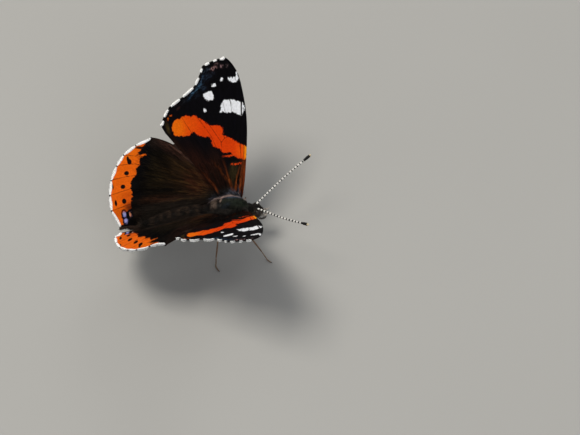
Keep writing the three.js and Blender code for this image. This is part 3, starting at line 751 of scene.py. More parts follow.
def coatMaterial(name, roughness, specular, low=0.45):
    # hair and hair scales: each tuft keeps the colour of its root, with painted shade deep in the coat that
    # fades to a paler tip
    material, tree = newMaterial(name)
    tone = addNode(tree, "ShaderNodeAttribute", attribute_name="tone")
    # painted shade: the deeper a corner sits in the coat, the darker it is
    depth = addNode(tree, "ShaderNodeMapRange", {0: tone.outputs["Alpha"], 3: low, 4: 1.25}, 0)
    colour = addNode(tree, "ShaderNodeVectorMath", {0: tone.outputs["Color"], "Scale": depth}, 0,
                     operation="SCALE")
    finishMaterial(tree, {"Base Color": colour, "Roughness": roughness, "Specular IOR Level": specular})
    return material


# a tuft's three root points, three at its middle and its tip: faces, depth in the coat for the painted shade,
# and places on the map
tuft = {
    "faces": [(0, 1, 2), (1, 0, 3), (1, 3, 4), (2, 1, 4), (2, 4, 5), (0, 2, 5), (0, 5, 3), (4, 3, 6),
              (5, 4, 6), (3, 5, 6)],
    "depth": (0, 0, 0.1, 0.6, 0.6, 0.7, 1), "sunk": 0.04, "mapSize": 0.0015,
    "map": [(-1, -1), (1, -1), (0, -0.9), (-1, 0.3), (1, 0.3), (0, 0.4), (0, 1)],
}


def growTufts(name, roots, lie, out, length, wide, tone, patch, lift, droop):
    # thin closed locks of three sides, each rising off its root and bending back along the lie of the coat
    count, corners = len(roots), len(tuft["depth"])
    length, wide, lift = [np.broadcast_to(v, count)[:, None] for v in (length, wide, lift)]
    lie = unit(lie - out * (lie * out).sum(1, keepdims=True))
    side = unit(np.cross(lie, out))
    base = roots - out * tuft["sunk"]
    middle = roots + length * (lie * 0.5 + out * lift * 0.5)
    tip = roots + length * (lie + out * lift * (1 - droop))
    points = np.stack([
        base - side * wide * 0.4, base + side * wide * 0.4, roots + out * wide * 0.4,
        middle - side * wide * 0.5, middle + side * wide * 0.5, middle + out * wide * 0.45, tip], 1)
    faces = (np.array(tuft["faces"])[None] + np.arange(count)[:, None, None] * corners).reshape(-1)
    mesh = bpy.data.meshes.new(name)
    mesh.vertices.add(count * corners)
    mesh.vertices.foreach_set("co", (points * metre).ravel())
    mesh.loops.add(len(faces))
    mesh.loops.foreach_set("vertex_index", faces.astype(np.int32))
    mesh.polygons.add(len(faces) // 3)
    mesh.polygons.foreach_set("loop_start", np.arange(0, len(faces), 3, dtype=np.int32))
    mesh.update(calc_edges=True)
    piece = bpy.data.objects.new(name, mesh)
    bpy.context.collection.objects.link(piece)
    colour = np.repeat(tone[:, None], corners, 1)
    # the alpha holds each corner's depth in the coat, read as painted shade
    colour[:, :, 3] = tuft["depth"]
    storeColours(piece, "tone", colour)
    # each tuft has its own small patch of the map, where its root lies on the unwrapped skin
    storeMap(piece, "OFBake", (patch[:, None] + np.array(tuft["map"]) * tuft["mapSize"]).reshape(-1, 2))
    return piece


wingMap = {"u": (-27, 9), "w": (-2, 35)}  # what part of a wing's plane the map of its tufts covers
arcRadius = 14


def onMap(acrossShare, alongShare, left=0.0, wide=0.98):
    # places on a coat's map, a little inside its edges
    return np.stack([left + 0.01 + acrossShare * wide, 0.01 + alongShare * 0.98], 1)


def turnShare(a, b):
    return np.arctan2(a, b) / (2 * math.pi) + 0.5


def paintedNearShade(wing, side, plane):
    # painted shade: the wings on the right are seen almost edge-on, and their bases are painted darker than
    # those on the left
    reach = np.linalg.norm(plane - np.array(wing["focus"]), axis=1)
    return 1 - wing["paintedNearShade"] * (side < 0) * (1 - smooth(reach, *wing["paintedShadeReach"]))[:, None]


def fanTurn(away):
    # how far round the wing's focus a place lies, in millimetres along an arc
    return np.arctan2(-away[:, 0], away[:, 1]) * arcRadius


def mapWing(wing, side, piece):
    plane = offWing(side, vertexPlaces(piece))
    pattern = wingPattern(wing, plane)
    # painted shade on the bases of the right wings
    pattern["tone"] = pattern["tone"] * paintedNearShade(wing, side, plane)
    for key, values in pattern.items():
        (storeColours if values.ndim == 2 else storeNumbers)(piece, key, values)
    away = plane - np.array(wing["focus"])
    storeMap(piece, "lie", np.stack([fanTurn(away), np.linalg.norm(away, axis=1)], 1))
    storeMap(piece, "plane", plane)


def makeWing(kind, label, side, plane, materials):
    wing = wings[kind]
    points = onWing(side, plane[..., 0], plane[..., 1], wingLift(wing, plane))
    sheet = layGrid(f"{kind}_scales_{label}", points)
    applyModifier(sheet, "SOLIDIFY", thickness=wing["thick"] * metre, offset=0)
    parts = [sheet]
    for i, vein in enumerate(wing["veins"] + [wing["leading"]]):
        line = curveThrough(vein, 36)
        thick, thin = wing["costa"] if vein is wing["leading"] else (ribs["root"], ribs["tip"])
        reach = np.linalg.norm(line - np.array(wing["focus"]), axis=1)
        radius = between(thick, thin, np.clip(reach / ribs["reach"], 0, 1))
        path = onWing(side, line[:, 0], line[:, 1], wingLift(wing, line))
        parts.append(layGrid(f"vein{i}", tubePoints(path, radius, sides=6), rolled=True))
    piece = joined(sheet.name, parts)
    bpy.ops.object.shade_smooth_by_angle(angle=math.radians(60))
    mapWing(wing, side, piece)
    settle(piece, materials, f"{kind}_scales", f"{kind}_{label}")
    up = np.array([0, -side * math.sin(stance["rise"]), math.cos(stance["rise"])])
    below = readRows(piece.data.polygons, "normal", 3) @ up < 0
    piece.data.polygons.foreach_set("material_index", below.astype(np.int32))


print("stage: wings")
wingGrids = {"forewing": forewingGrid(), "hindwing": hindwingGrid()}
wingFaces = [wingMaterial("wing scales above", ""), wingMaterial("wing scales below", "Under")]
for label, side in bothSides:
    for kind, grid in wingGrids.items():
        makeWing(kind, label, side, grid, wingFaces)


def planeVectors(side, du, dw, dl):
    return onWing(side, du, dw, dl) - toModel((0, 0, 0))


def tuftsOnWing(name, side, wing, plane, lie, length, wide, tone, lift, below, droop):
    # tufts on a wing's upper face, or on its lower one where `below` says so; their lie is given in the plane
    near = 0.05
    slopeU, slopeW = [(wingLift(wing, plane + step) - wingLift(wing, plane - step)) / (2 * near)
                      for step in (np.array([near, 0]), np.array([0, near]))]
    out = unit(planeVectors(side, -slopeU, -slopeW, np.ones(len(plane))))
    along = planeVectors(side, lie[:, 0], lie[:, 1], slopeU * lie[:, 0] + slopeW * lie[:, 1])
    face = np.where(below, -1, 1) * np.ones(len(plane))
    roots = onWing(side, plane[:, 0], plane[:, 1], wingLift(wing, plane) + face * wing["thick"] * 0.45)
    uShare, wShare = shareAlong(plane[:, 0], wingMap["u"]), shareAlong(plane[:, 1], wingMap["w"])
    patch = onMap(uShare, wShare, np.where(face < 0, 0.5, 0.0), 0.48)
    return growTufts(name, roots, along, out * face[:, None], length, wide, tone, patch, lift, droop)


clumps = {"shares": 997, "strides": (7385, 1934, 8349), "stray": 0.22}


def clumped(places, spacing):
    # one random share for all the tufts of a clump, found from the number of the box that they stand in
    box = np.floor(places / spacing + dice.normal(0, clumps["stray"], places.shape)).astype(int)
    number = (box * clumps["strides"][:box.shape[1]]).sum(1) % clumps["shares"]
    return dice.random(clumps["shares"])[number][:, None]


# the white fringe is dark at the vein ends, within `gap` of them, and the inner edge has a hem of soft hair
fringes = {
    "forewing": {"length": (0.5, 0.68), "wide": 0.11, "gap": (0.42, 0.58), "bareEnds": 1,
                 "hemHairs": 1600, "hemFrom": 1, "hemLie": (-0.9, -0.1), "hemLonger": 0},
    "hindwing": {"length": (0.55, 0.74), "wide": 0.12, "gap": (0.13, 0.19), "bareEnds": 0,
                 "hemHairs": 2600, "hemFrom": 0, "hemLie": (-0.35, -1.0), "hemLonger": 1.1},
    "step": 0.045, "rows": 4, "fan": 0.16, "below": 0.35, "droop": 0.2,
    "white": "#fbfbf9", "dark": "#0b0908", "inner": "#2a1d16",
}


def fringeScales(kind, label, side):
    wing, trim = wings[kind], fringes[kind]
    line = marginLine(wing)
    far = lengthsAlong(line)
    count = int(far[-1] / fringes["step"]) * fringes["rows"]
    stations = np.array(sorted(dice.uniform(0.0, far[-1], count)))
    place, before, after = [np.stack([np.interp(stations + step, far, line[:, k]) for k in (0, 1)], 1)
                            for step in (0, -0.1, 0.1)]
    ahead = unit(after - before)
    lie = unit(ahead[:, ::-1] * (1, -1) + ahead * dice.normal(0, fringes["fan"], len(place))[:, None])
    veinEnds = far[::spanSteps]
    veinEnds = veinEnds[trim["bareEnds"]:len(veinEnds) - trim["bareEnds"]]
    gap = dice.uniform(*trim["gap"], len(place))
    apart = np.abs(stations[:, None] - veinEnds[None])
    if kind == "forewing":
        apart[:, 2:4] /= 1.4  # below the tip's corner the white is almost gone
    apart = np.min(apart, 1)
    dark = apart < gap
    tone = np.where(dark[:, None], toLinear(fringes["dark"]), toLinear(fringes["white"]))
    length = dice.uniform(*trim["length"], len(place))
    length *= np.where(dark, 0.5, 0.6 + 0.4 * smooth(apart, 0.3, 1.0))
    below = dice.random(len(place)) < fringes["below"]
    back = dice.uniform(0.0, 0.1, len(place))[:, None]
    lift = dice.uniform(0.05, 0.6, len(place)) * np.where(dark, 0.3, 1)
    return tuftsOnWing(f"{kind}_fringe_{label}", side, wing, place - lie * back, lie, length, trim["wide"],
                       tone, lift, below, fringes["droop"])


def hemHairs(kind, side):
    wing, trim = wings[kind], fringes[kind]
    hem = curveThrough(wing["trailing"][trim["hemFrom"]:], 900)[dice.integers(2, 890, trim["hemHairs"])]
    lie = unit(np.array(trim["hemLie"]) + dice.normal(0, 0.28, (len(hem), 2)))
    tone = np.array(toLinear(fringes["inner"])) * dice.uniform(0.5, 1.8, (len(hem), 1))
    length = dice.uniform(0.5, 0.95, len(hem)) * (1 + trim["hemLonger"] * smooth(hem[:, 0], -23, -20.5))
    below = dice.random(len(hem)) < 0.5
    return tuftsOnWing("hem", side, wing, hem - lie * 0.12, lie, length, 0.055, tone, 0.12, below, 0.6)


def makeFringe(kind, label, side, material):
    scales = fringeScales(kind, label, side)
    fringe = joined(scales.name, [scales, hemHairs(kind, side)])
    settle(fringe, [material], f"{kind}_scales")


# long hair lies outward over the root of the wings, thick beside the body
wingHair = {
    "forewing": {"count": 5200, "reach": 12.0, "length": (1.0, 2.0), "wide": 0.05, "lift": (0.06, 0.16),
                 "bright": 1},
    "hindwing": {"count": 11500, "reach": 19.0, "length": (1.2, 2.5), "wide": 0.055, "lift": (0.06, 0.2),
                 "bright": 1.3},
    "grey": "#453b32", "tries": 12, "droop": 0.9,
}


def hairiness(wing, plane, reach):
    # how thick the hair is at each place, and how near the body that place is
    u, w = plane.T
    thick = np.clip(1.15 - reach, 0, 1) ** 0.8
    beside = np.zeros(len(plane))
    if wing is hindwing:
        beside = np.clip(1 - (w - 1.0) / 4, 0, 1) * smooth(u, -19.5, -16.5)
        thick = np.maximum(thick * smooth(u, -19.5, -15), beside)
    else:
        thick *= smooth(edgeDistance(plane, wing["band"]), 0.6, 2.0)
        thick *= np.maximum(smooth(u, 1.0, -1.0), smooth(w, 6.5, 4.5) * smooth(u, 5.2, 3.6))
    inward = -edgeDistance(plane, wing["leading"] + wing["margin"] + wing["trailing"])
    return thick * smooth(inward, 0.1, 0.6), beside


def makeWingHair(kind, label, side, material):
    wing, hair = wings[kind], wingHair[kind]
    grid, tries = wingGrids[kind].reshape(-1, 2), hair["count"] * wingHair["tries"]
    plane = grid[dice.integers(0, len(grid), tries)] + dice.normal(0, 0.12, (tries, 2))
    away = plane - np.array(wing["focus"])
    thick, beside = hairiness(wing, plane, np.linalg.norm(away, axis=1) / hair["reach"])
    chosen = np.flatnonzero(dice.random(tries) < thick)[:hair["count"]]
    plane, away, beside = plane[chosen], unit(away[chosen]), beside[chosen][:, None]
    count = len(plane)
    tone = wingPattern(wing, plane)["tone"] * dice.uniform(0.7, 1.4, (count, 1))
    locks = clumped(np.stack([fanTurn(away), plane @ (-0.7, 0.7)], 1), (0.3, 3.5))
    # the hair on the right wings takes the same painted shade as their scales
    tone = tone * (0.25 + 2.5 * locks ** 1.5) * paintedNearShade(wing, side, plane) * hair["bright"]
    grey = np.array(toLinear(wingHair["grey"])) * dice.uniform(0.25, 1.15, (count, 1))
    tone = mix(tone, grey, 0.15 * (dice.random((count, 1)) < 0.25) + beside * 0.5)
    lie = unit(away + dice.normal(0, 0.09, (count, 2)))
    length, lift = [dice.uniform(*hair[k], count) for k in ("length", "lift")]
    coat = tuftsOnWing(f"{kind}_hair_{label}", side, wing, plane, lie, length, hair["wide"], tone, lift,
                       False, wingHair["droop"])
    settle(coat, [material], f"{kind}_scales")


print("stage: wing fringes and wing hair")
fringeCoat = coatMaterial("fringe scales", 0.7, 0.15, 1.05)
wingCoat = coatMaterial("hair on the wings", 0.7, 0.08)
for label, side in bothSides:
    for kind in wings:
        makeFringe(kind, label, side, fringeCoat)
        makeWingHair(kind, label, side, wingCoat)

bodyParts = {
    "voxel": 0.14, "smoothing": 5, "eye": (6.5, 1.18, -1.65),
    # lobes of the trunk and head: middle, half sizes and lean in degrees
    "lobes": [
        ((0.0, 0, 0.35), (4.6, 2.5, 2.5), 6), ((0.9, 0, 1.3), (3.1, 1.95, 1.95), 6),
        ((-2.8, 0, 1.4), (1.3, 1.5, 1.3), 0), ((3.7, 0.75, 0.2), (0.8, 0.75, 0.75), 20),
        ((4.85, 0, -0.95), (0.9, 1.0, 0.95), 20), ((6.15, 0, -1.75), (1.2, 1.25, 1.3), 0),
        ((7.05, 0, -2.0), (0.6, 0.62, 0.75), 0), ((-4.4, 0, 0.3), (1.0, 1.25, 1.3), 0),
        ((1.2, 2.05, 1.2), (2.1, 0.48, 0.8), 4), ((-2.0, 1.8, 0.9), (1.5, 0.55, 0.75), -6),
        ((1.6, 0, -1.0), (2.2, 1.5, 1.5), 0),
    ],
    "abdomenPath": [(-4.2, 0, 0.35), (-9, 0, 0.0), (-14, 0, -0.55), (-18.6, 0, -1.1)],
    "abdomenWide": 1.85, "abdomenHigh": 1.75, "segments": 7.5, "waist": 0.3, "bulge": 0.045,
}


def abdomenTube():
    # rounded at the waist, drawn out to the tail, with a slight bulge for each segment
    path = curveThrough(bodyParts["abdomenPath"], 110)
    s, waist = np.linspace(0, 1, len(path)), bodyParts["waist"]
    rise, fall = np.clip(s / waist, 0, 1), np.clip((s - waist) / (1 - waist), 0, 1)
    size = np.sqrt(np.clip(1 - (1 - rise) ** 2, 0.02, 1)) * np.sqrt(np.clip(1 - fall ** 2.1, 0.0004, 1))
    ripple = np.abs(np.sin(math.pi * bodyParts["segments"] * s)) ** 0.6
    size = size * (1 + bodyParts["bulge"] * ripple - 0.03)
    wide, high = bodyParts["abdomenWide"] * size, bodyParts["abdomenHigh"] * size
    return layGrid("abdomen tube", tubePoints(toModel(path), wide, high, sides=40), rolled=True)


def makeSkin(material):
    # a lobe off the middle line is repeated on the other side
    lobes = [addBall("lobe", (x, side * y, z), half, lean) for (x, y, z), half, lean in bodyParts["lobes"]
             for side in ((1, -1) if y else (1,))]
    skin = joined("body_skin", lobes + [abdomenTube()])
    applyModifier(skin, "REMESH", mode="VOXEL", voxel_size=bodyParts["voxel"] * metre)
    applyModifier(skin, "SMOOTH", factor=0.5, iterations=bodyParts["smoothing"])
    bpy.ops.object.shade_smooth()
    places = vertexPlaces(skin) - toModel((0, 0, 0))
    paint(skin, bodyTone(places) * (0.3 + 1.6 * clumped(places, (0.5, 0.3, 0.3))))
    settle(skin, [material], "body_hair", "thorax", "abdomen", "head")
    return skin


# colour of the body from above and from the side, as patches over x and y or over x and z, and the height at
# which one gives way to the other, at a few places along the body
bodyColours = {
    "ground": "#171310",
    # the pale ridges on the left (y > 0) are painted stronger than those on the right: their own pale hair
    # plus a painted highlight on the lit far side
    "above": [
        (1.5, 0.0, 3.0, 2.1, 0, "#23271f", 1.0), (1.6, 0.9, 2.6, 0.45, 0, "#283544", 0.9),
        (2.4, -0.6, 1.6, 0.7, 0, "#252d22", 0.8), (-0.2, -1.2, 1.2, 0.5, 20, "#26313a", 0.7),
        (-2.85, 0.0, 0.95, 1.2, 0, "#7a675a", 0.9), (-1.6, 0.1, 0.55, 1.6, -20, "#000000", 1.0),
        (-4.05, 0.1, 0.55, 1.6, -12, "#000000", 1.0), (-0.4, -2.3, 3.0, 0.3, 0, "#3d3a36", 0.7),
        (3.7, 1.3, 0.7, 0.5, -30, "#8f7f78", 0.9), (3.7, -1.3, 0.7, 0.5, 30, "#4a423e", 0.7),
        (-0.2, 2.6, 4.5, 0.6, 0, "#4a4d58", 0.9), (-1.15, 0.55, 0.25, 0.6, -20, "#8a7468", 0.9),
        (-2.9, 1.6, 0.8, 0.3, 30, "#7a6c6e", 0.9), (0.5, 1.45, 3.2, 0.34, -2, "#a18a83", 1.0),
        (3.0, 1.5, 0.6, 0.5, 0, "#a08c86", 0.9), (6.2, 0.0, 0.8, 0.7, 0, "#221e1c", 0.9),
        (-5.2, 0.0, 1.1, 2.0, 0, "#17120f", 0.9), (-11.5, 0.6, 6.5, 1.0, 0, "#281d15", 0.8),
        (-11.5, -1.5, 6.5, 0.5, 0, "#261c15", 0.8),
    ] + [(-6.6 - 2.05 * k, y, 0.4, 0.5, 0, "#382b20", 0.8) for k in range(6) for y in (0.75, -0.55)],
    "below": [
        (1.5, -2.6, 5.0, 2.6, 0, "#6b5a4a", 0.9), (-11.0, -2.0, 7.5, 1.5, 0, "#6a5644", 0.9),
        (6.6, -2.9, 1.3, 1.0, 0, "#a39484", 0.9),
    ],
    "along": (-18, -9, 0, 5, 8), "waterline": (-0.7, 0.3, 0.6, -0.9, -1.9),
}


def bodyTone(places):
    colour = blendPatches(places[:, :2], bodyColours["ground"], bodyColours["above"])
    under = blendPatches(places[:, ::2], bodyColours["ground"], bodyColours["below"])
    waterline = np.interp(places[:, 0], bodyColours["along"], bodyColours["waterline"])
    return mix(colour, under, smooth(places[:, 2] - waterline, 0.2, -1.2)[:, None])


# sizes of the patterns and depth of the relief, in millimetres
skinFinish = {"fleck": 0.1923, "cloud": 0.7143, "roughness": 0.5, "specular": 0.3, "relief": 0.5,
              "height": 0.08}


def skinMaterial():
    # dark chitin under fine lying scales: satin, slightly oily on the back of the thorax
    material, tree = newMaterial("body skin")
    tone = addNode(tree, "ShaderNodeAttribute", out="Color", attribute_name="tone")
    place = addNode(tree, "ShaderNodeTexCoord", out="Object")
    fleck = addNode(tree, "ShaderNodeTexVoronoi", {
        "Vector": place, "Scale": 1 / (skinFinish["fleck"] * metre)}, "Distance")
    cloud = addNode(tree, "ShaderNodeTexNoise", {
        "Vector": place, "Scale": 1 / (skinFinish["cloud"] * metre), "Detail": 4.0}, 0)
    shade = addNode(tree, "ShaderNodeMapRange", {0: cloud, 1: 0.3, 2: 0.7, 3: 0.4, 4: 1.1}, 0)
    colour = addNode(tree, "ShaderNodeVectorMath", {0: tone, "Scale": shade}, 0, operation="SCALE")
    relief = addNode(tree, "ShaderNodeBump", {
        "Height": fleck, "Strength": skinFinish["relief"], "Distance": skinFinish["height"] * metre}, 0)
    finishMaterial(tree, {"Base Color": colour, "Roughness": skinFinish["roughness"],
                          "Specular IOR Level": skinFinish["specular"], "Normal": relief})
    return material


def scatterOn(piece, count, keep=None):
    # evenly strewn places on a piece, with the way out of its surface at each
    mesh = piece.data
    mesh.calc_loop_triangles()
    corner = readRows(mesh.loop_triangles, "vertices", 3, np.int32)
    places = vertexPlaces(piece) - toModel((0, 0, 0))
    normal = readRows(mesh.vertices, "normal", 3)
    if keep is not None:
        corner = corner[keep(places[corner].mean(1))]
    a, b, c = places[corner].transpose(1, 0, 2)
    area = np.linalg.norm(np.cross(b - a, c - a), axis=1)
    chosen = corner[dice.choice(len(corner), count, p=area / area.sum())]
    share = dice.dirichlet((1, 1, 1), count)[..., None]
    return (places[chosen] * share).sum(1), unit((normal[chosen] * share).sum(1))


# the coat: where each piece begins and ends, how many tufts, how long and wide, how far they stand off
bodyCoats = {
    "thorax_hair": {"reach": (-5.0, 4.9), "count": 15500, "length": (0.5, 1.3), "wide": 0.07,
                    "lift": (0.1, 0.5), "slot": "body_hair"},
    "abdomen_hair": {"reach": (-19.2, -5.0), "count": 13500, "length": (0.7, 1.5), "wide": 0.07,
                     "lift": (0.1, 0.35), "slot": "abdomen_hair"},
    "head_hair": {"reach": (4.9, 8.4), "count": 5200, "length": (0.3, 0.7), "wide": 0.05, "lift": (0.25, 0.9),
                  "slot": "body_hair"},
}
orbitHair = {"tint": "#5c5147", "reach": 1.35, "share": 0.35}


def lieOfCoat(name, root, beside):
    # hair runs back along the body and out over the wing roots; on the head it stands up and forward
    x, y, _ = root.T
    if name == "head_hair":
        return np.stack([0.25 + (x - 6) * 0.5, y * 0.4, np.full(len(root), 0.5)], 1)
    outward = np.stack([np.full(len(root), -0.45), np.sign(y), np.full(len(root), 0.25)], 1)
    return mix(np.tile((-1.0, 0, 0), (len(root), 1)), outward, beside)


def makeCoat(name, skin, material):
    coat = bodyCoats[name]
    rear, front = coat["reach"]
    root, out = scatterOn(skin, coat["count"], lambda c: (c[:, 0] >= rear) & (c[:, 0] < front))
    x, y, z = root.T
    beside = smooth(np.abs(y), 1.5, 2.2)[:, None] * (name == "thorax_hair")
    lie = lieOfCoat(name, root, beside) + dice.normal(0, 0.22, root.shape)
    # longer at the sides and the tail, and short on the back of the thorax
    sideways = 1 + 0.3 * np.abs(out[:, 1])
    length = dice.uniform(*coat["length"], len(root)) * (sideways + 1.9 * beside[:, 0])
    length *= 1 + 0.8 * smooth(x, -16.5, -18.4)
    length *= 1 - 0.72 * smooth(z, 1.6, 2.1) * (np.abs(y) < 1.35)
    lift = dice.uniform(*coat["lift"], len(root)) * sideways
    tone = bodyTone(root + lie * length[:, None] * 0.4) * dice.uniform(0.7, 1.5, (len(root), 1))
    tone = tone * (0.3 + 2.1 * clumped(root, (0.55, 0.35, 0.35)) ** 1.5)
    if name == "head_hair":
        # pale hair round the eyes
        ex, ey, ez = bodyParts["eye"]
        near = np.hypot(x - ex, z - ez) + 0.6 * np.abs(np.abs(y) - ey) < orbitHair["reach"]
        pale = near[:, None] & (dice.random((len(root), 1)) < orbitHair["share"])
        tone = np.where(pale, tone + toLinear(orbitHair["tint"]), tone)
    patch = onMap(turnShare(y, -z + 0.4), shareAlong(x, coat["reach"]))
    piece = growTufts(name, toModel(root), lie, out, length, coat["wide"], tone, patch, lift, 0.75)
    settle(piece, [material], coat["slot"])


print("stage: body")
skin = makeSkin(skinMaterial())
bodyCoat = coatMaterial("body hair", 0.6, 0.16)
for name in bodyCoats:
    makeCoat(name, skin, bodyCoat)


def hornMaterial(name, roughness, specular, size):
    # bare cuticle: thin horn with a satin gloss, uneven in colour and pitted in patches of `size` millimetres
    material, tree = newMaterial(name)
    tone = addNode(tree, "ShaderNodeAttribute", out="Color", attribute_name="tone")
    place = addNode(tree, "ShaderNodeTexCoord", out="Object")
    cloud = addNode(tree, "ShaderNodeTexNoise", {
        "Vector": place, "Scale": 1 / (size * metre), "Detail": 3.0}, 0)
    shade = addNode(tree, "ShaderNodeMapRange", {0: cloud, 1: 0.3, 2: 0.7, 3: 0.7, 4: 1.25}, 0)
    colour = addNode(tree, "ShaderNodeVectorMath", {0: tone, "Scale": shade}, 0, operation="SCALE")
    relief = addNode(tree, "ShaderNodeBump", {"Height": cloud, "Strength": 0.3, "Distance": 0.05 * metre}, 0)
    finishMaterial(tree, {"Base Color": colour, "Roughness": roughness, "Specular IOR Level": specular,
                          "Normal": relief})
    return material


eyeShape = {"half": (0.88, 0.7, 1.03), "facet": 0.085, "cloud": 1.111, "dark": "#120b08", "light": "#291912",
            "roughness": 0.3, "specular": 0.35, "relief": 0.35, "height": 0.03}


def eyeMaterial():
    # a compound eye: smooth dark brown horn, glossy, with a fine honeycomb (facets of 0.03 mm, drawn coarser)
    material, tree = newMaterial("compound eye")
    place = addNode(tree, "ShaderNodeTexCoord", out="Object")
    facets = addNode(tree, "ShaderNodeTexVoronoi", {
        "Vector": place, "Scale": 1 / (eyeShape["facet"] * metre), "Randomness": 0.25}, "Distance")
    cloud = addNode(tree, "ShaderNodeTexNoise", {
        "Vector": place, "Scale": 1 / (eyeShape["cloud"] * metre), "Detail": 2.0}, 0)
    colour = addNode(tree, "ShaderNodeValToRGB", {0: cloud}, 0,
                     stops=[(0.35, eyeShape["dark"]), (0.65, eyeShape["light"])])
    relief = addNode(tree, "ShaderNodeBump", {
        "Height": facets, "Strength": eyeShape["relief"], "Distance": eyeShape["height"] * metre}, 0,
        invert=True)
    finishMaterial(tree, {"Base Color": colour, "Roughness": eyeShape["roughness"],
                          "Specular IOR Level": eyeShape["specular"], "Normal": relief})
    return material


def makeEye(label, side, material):
    x, y, z = bodyParts["eye"]
    eye = addBall(f"compound_eye_{label}", (x, side * y, z), eyeShape["half"])
    bpy.ops.object.shade_smooth()
    settle(eye, [material], "eye", f"eye_{label}")


# each feeler leans its own way; a ring is the share of each segment that is white
feeler = {
    "root": (6.7, 0.8, -0.55), "tips": {"left": (20.3, 8.0, 5.1), "right": (17.5, 11.6, 4.4)},
    "bow": {"left": (0, 0.5), "right": (0.35, 0)}, "segments": {"left": 22, "right": 18}, "steps": 176,
    "shaft": 0.2, "club": 0.32, "clubFrom": 0.85, "clubTo": 0.93, "end": 0.035, "knob": 1.6,
    "ring": 0.54, "ringsFrom": 0.04, "ringsTo": 0.87, "paleFrom": 0.975,
    "white": "#ebe9e2", "black": "#060505", "pale": "#d9c9a4",
}


def makeFeeler(label, side, material):
    x, y, z = feeler["root"]
    (tx, ty, tz), (outward, upward) = feeler["tips"][label], feeler["bow"][label]
    middle = ((x + tx) / 2, side * ((y + ty) / 2 + outward), (z + tz) / 2 + upward)
    path = curveThrough([(x - 0.2, side * (y - 0.1), z - 0.3), (x + 0.3, side * (y + 0.2), z + 0.25), middle,
                         (tx, side * ty, tz)], feeler["steps"])
    s = np.linspace(0, 1, len(path))
    phase = s * feeler["segments"][label] % 1
    radius = between(feeler["shaft"], feeler["club"], smooth(s, feeler["clubFrom"], feeler["clubTo"]))
    radius *= (1 + 0.1 * np.sin(phase * math.pi)) * np.sqrt(np.clip((1 - s) / feeler["end"], 0.0004, 1))
    radius[s < feeler["end"]] *= feeler["knob"]  # the first joint is stout
    piece = layGrid(f"feeler_{label}", tubePoints(toModel(path), radius), rolled=True)
    bpy.ops.object.shade_smooth()
    nearest = ((vertexPlaces(piece)[:, None] - toModel(path)[None]) ** 2).sum(2).argmin(1)
    at = s[nearest]
    white = (phase[nearest] < feeler["ring"]) & (at > feeler["ringsFrom"]) & (at < feeler["ringsTo"])
    tone = np.where(white[:, None], toLinear(feeler["white"]), toLinear(feeler["black"]))
    paint(piece, np.where((at > feeler["paleFrom"])[:, None], toLinear(feeler["pale"]), tone))
    settle(piece, [material], "antenna", f"antenna_{label}")


palps = {"path": [(7.25, 0.55, -2.8), (7.9, 0.66, -2.85), (8.6, 0.6, -2.55), (9.3, 0.5, -2.15)],
         "radius": 0.24, "hairs": 900, "length": (0.22, 0.5), "wide": 0.045, "lift": (0.3, 0.9),
         "reach": (7.2, 9.4),
         "pale": "#ece2d6", "dark": "#3a2f28", "darkShare": 0.22}


def makePalp(label, side, material, hairMaterial):
    path = curveThrough([(x, side * y, z) for x, y, z in palps["path"]], 24)
    s = np.linspace(0, 1, len(path))
    swell = np.sin(np.clip(s * 1.05 + 0.25, 0, 1) ** 0.8 * math.pi) ** 0.5
    radius = np.maximum(palps["radius"] * swell * (1 - 0.35 * s), 0.01)
    piece = layGrid(f"palp_body_{label}", tubePoints(toModel(path), radius, sides=14), rolled=True)
    bpy.ops.object.shade_smooth()
    paint(piece, toLinear(palps["pale"]))
    settle(piece, [material], "palp", f"palp_{label}")
    root, out = scatterOn(piece, palps["hairs"])
    lie = np.array((1.0, 0, 0.25)) + dice.normal(0, 0.2, root.shape)
    dark = dice.random(len(root)) < palps["darkShare"]
    tone = np.where(dark[:, None], toLinear(palps["dark"]), toLinear(palps["pale"]))
    tone = tone * dice.uniform(0.6, 1.3, (len(root), 1))
    patch = onMap(turnShare(out[:, 1], out[:, 2]), shareAlong(root[:, 0], palps["reach"]))
    length, lift = [dice.uniform(*palps[k], len(root)) for k in ("length", "lift")]
    coat = growTufts(f"palp_hair_{label}", toModel(root), lie, out, length, palps["wide"], tone, patch,
                     lift, 0.6)
    settle(coat, [hairMaterial], "palp")


tongue = {"start": [(7.1, 0, -2.3), (7.12, 0, -2.75)], "middle": (7.35, -4.15), "outer": 1.05, "inner": 0.34,
          "turns": 2.1, "radius": 0.13, "taper": 0.35, "rings": 45, "tint": "#2b1d14"}


def makeTongue(material):
    s = np.linspace(0, 1, 150)
    turn = math.pi * 0.55 - s * tongue["turns"] * 2 * math.pi
    reach = between(tongue["outer"], tongue["inner"], s)
    x, z = tongue["middle"]
    coil = np.stack([x + reach * np.cos(turn), 0 * s, z + reach * np.sin(turn)], 1)
    ringed = (1 - tongue["taper"] * s) * (1 + 0.06 * np.sin(s * tongue["rings"] * 2 * math.pi))
    radius = tongue["radius"] * np.r_[1, 1, ringed]
    radius[-1] = 0.01
    path = toModel(np.vstack([tongue["start"], coil]))
    piece = layGrid("coiled_tongue", tubePoints(path, radius, up=(0, 1, 0)), rolled=True)
    bpy.ops.object.shade_smooth()
    paint(piece, toLinear(tongue["tint"]))
    settle(piece, [material], "proboscis", "proboscis")


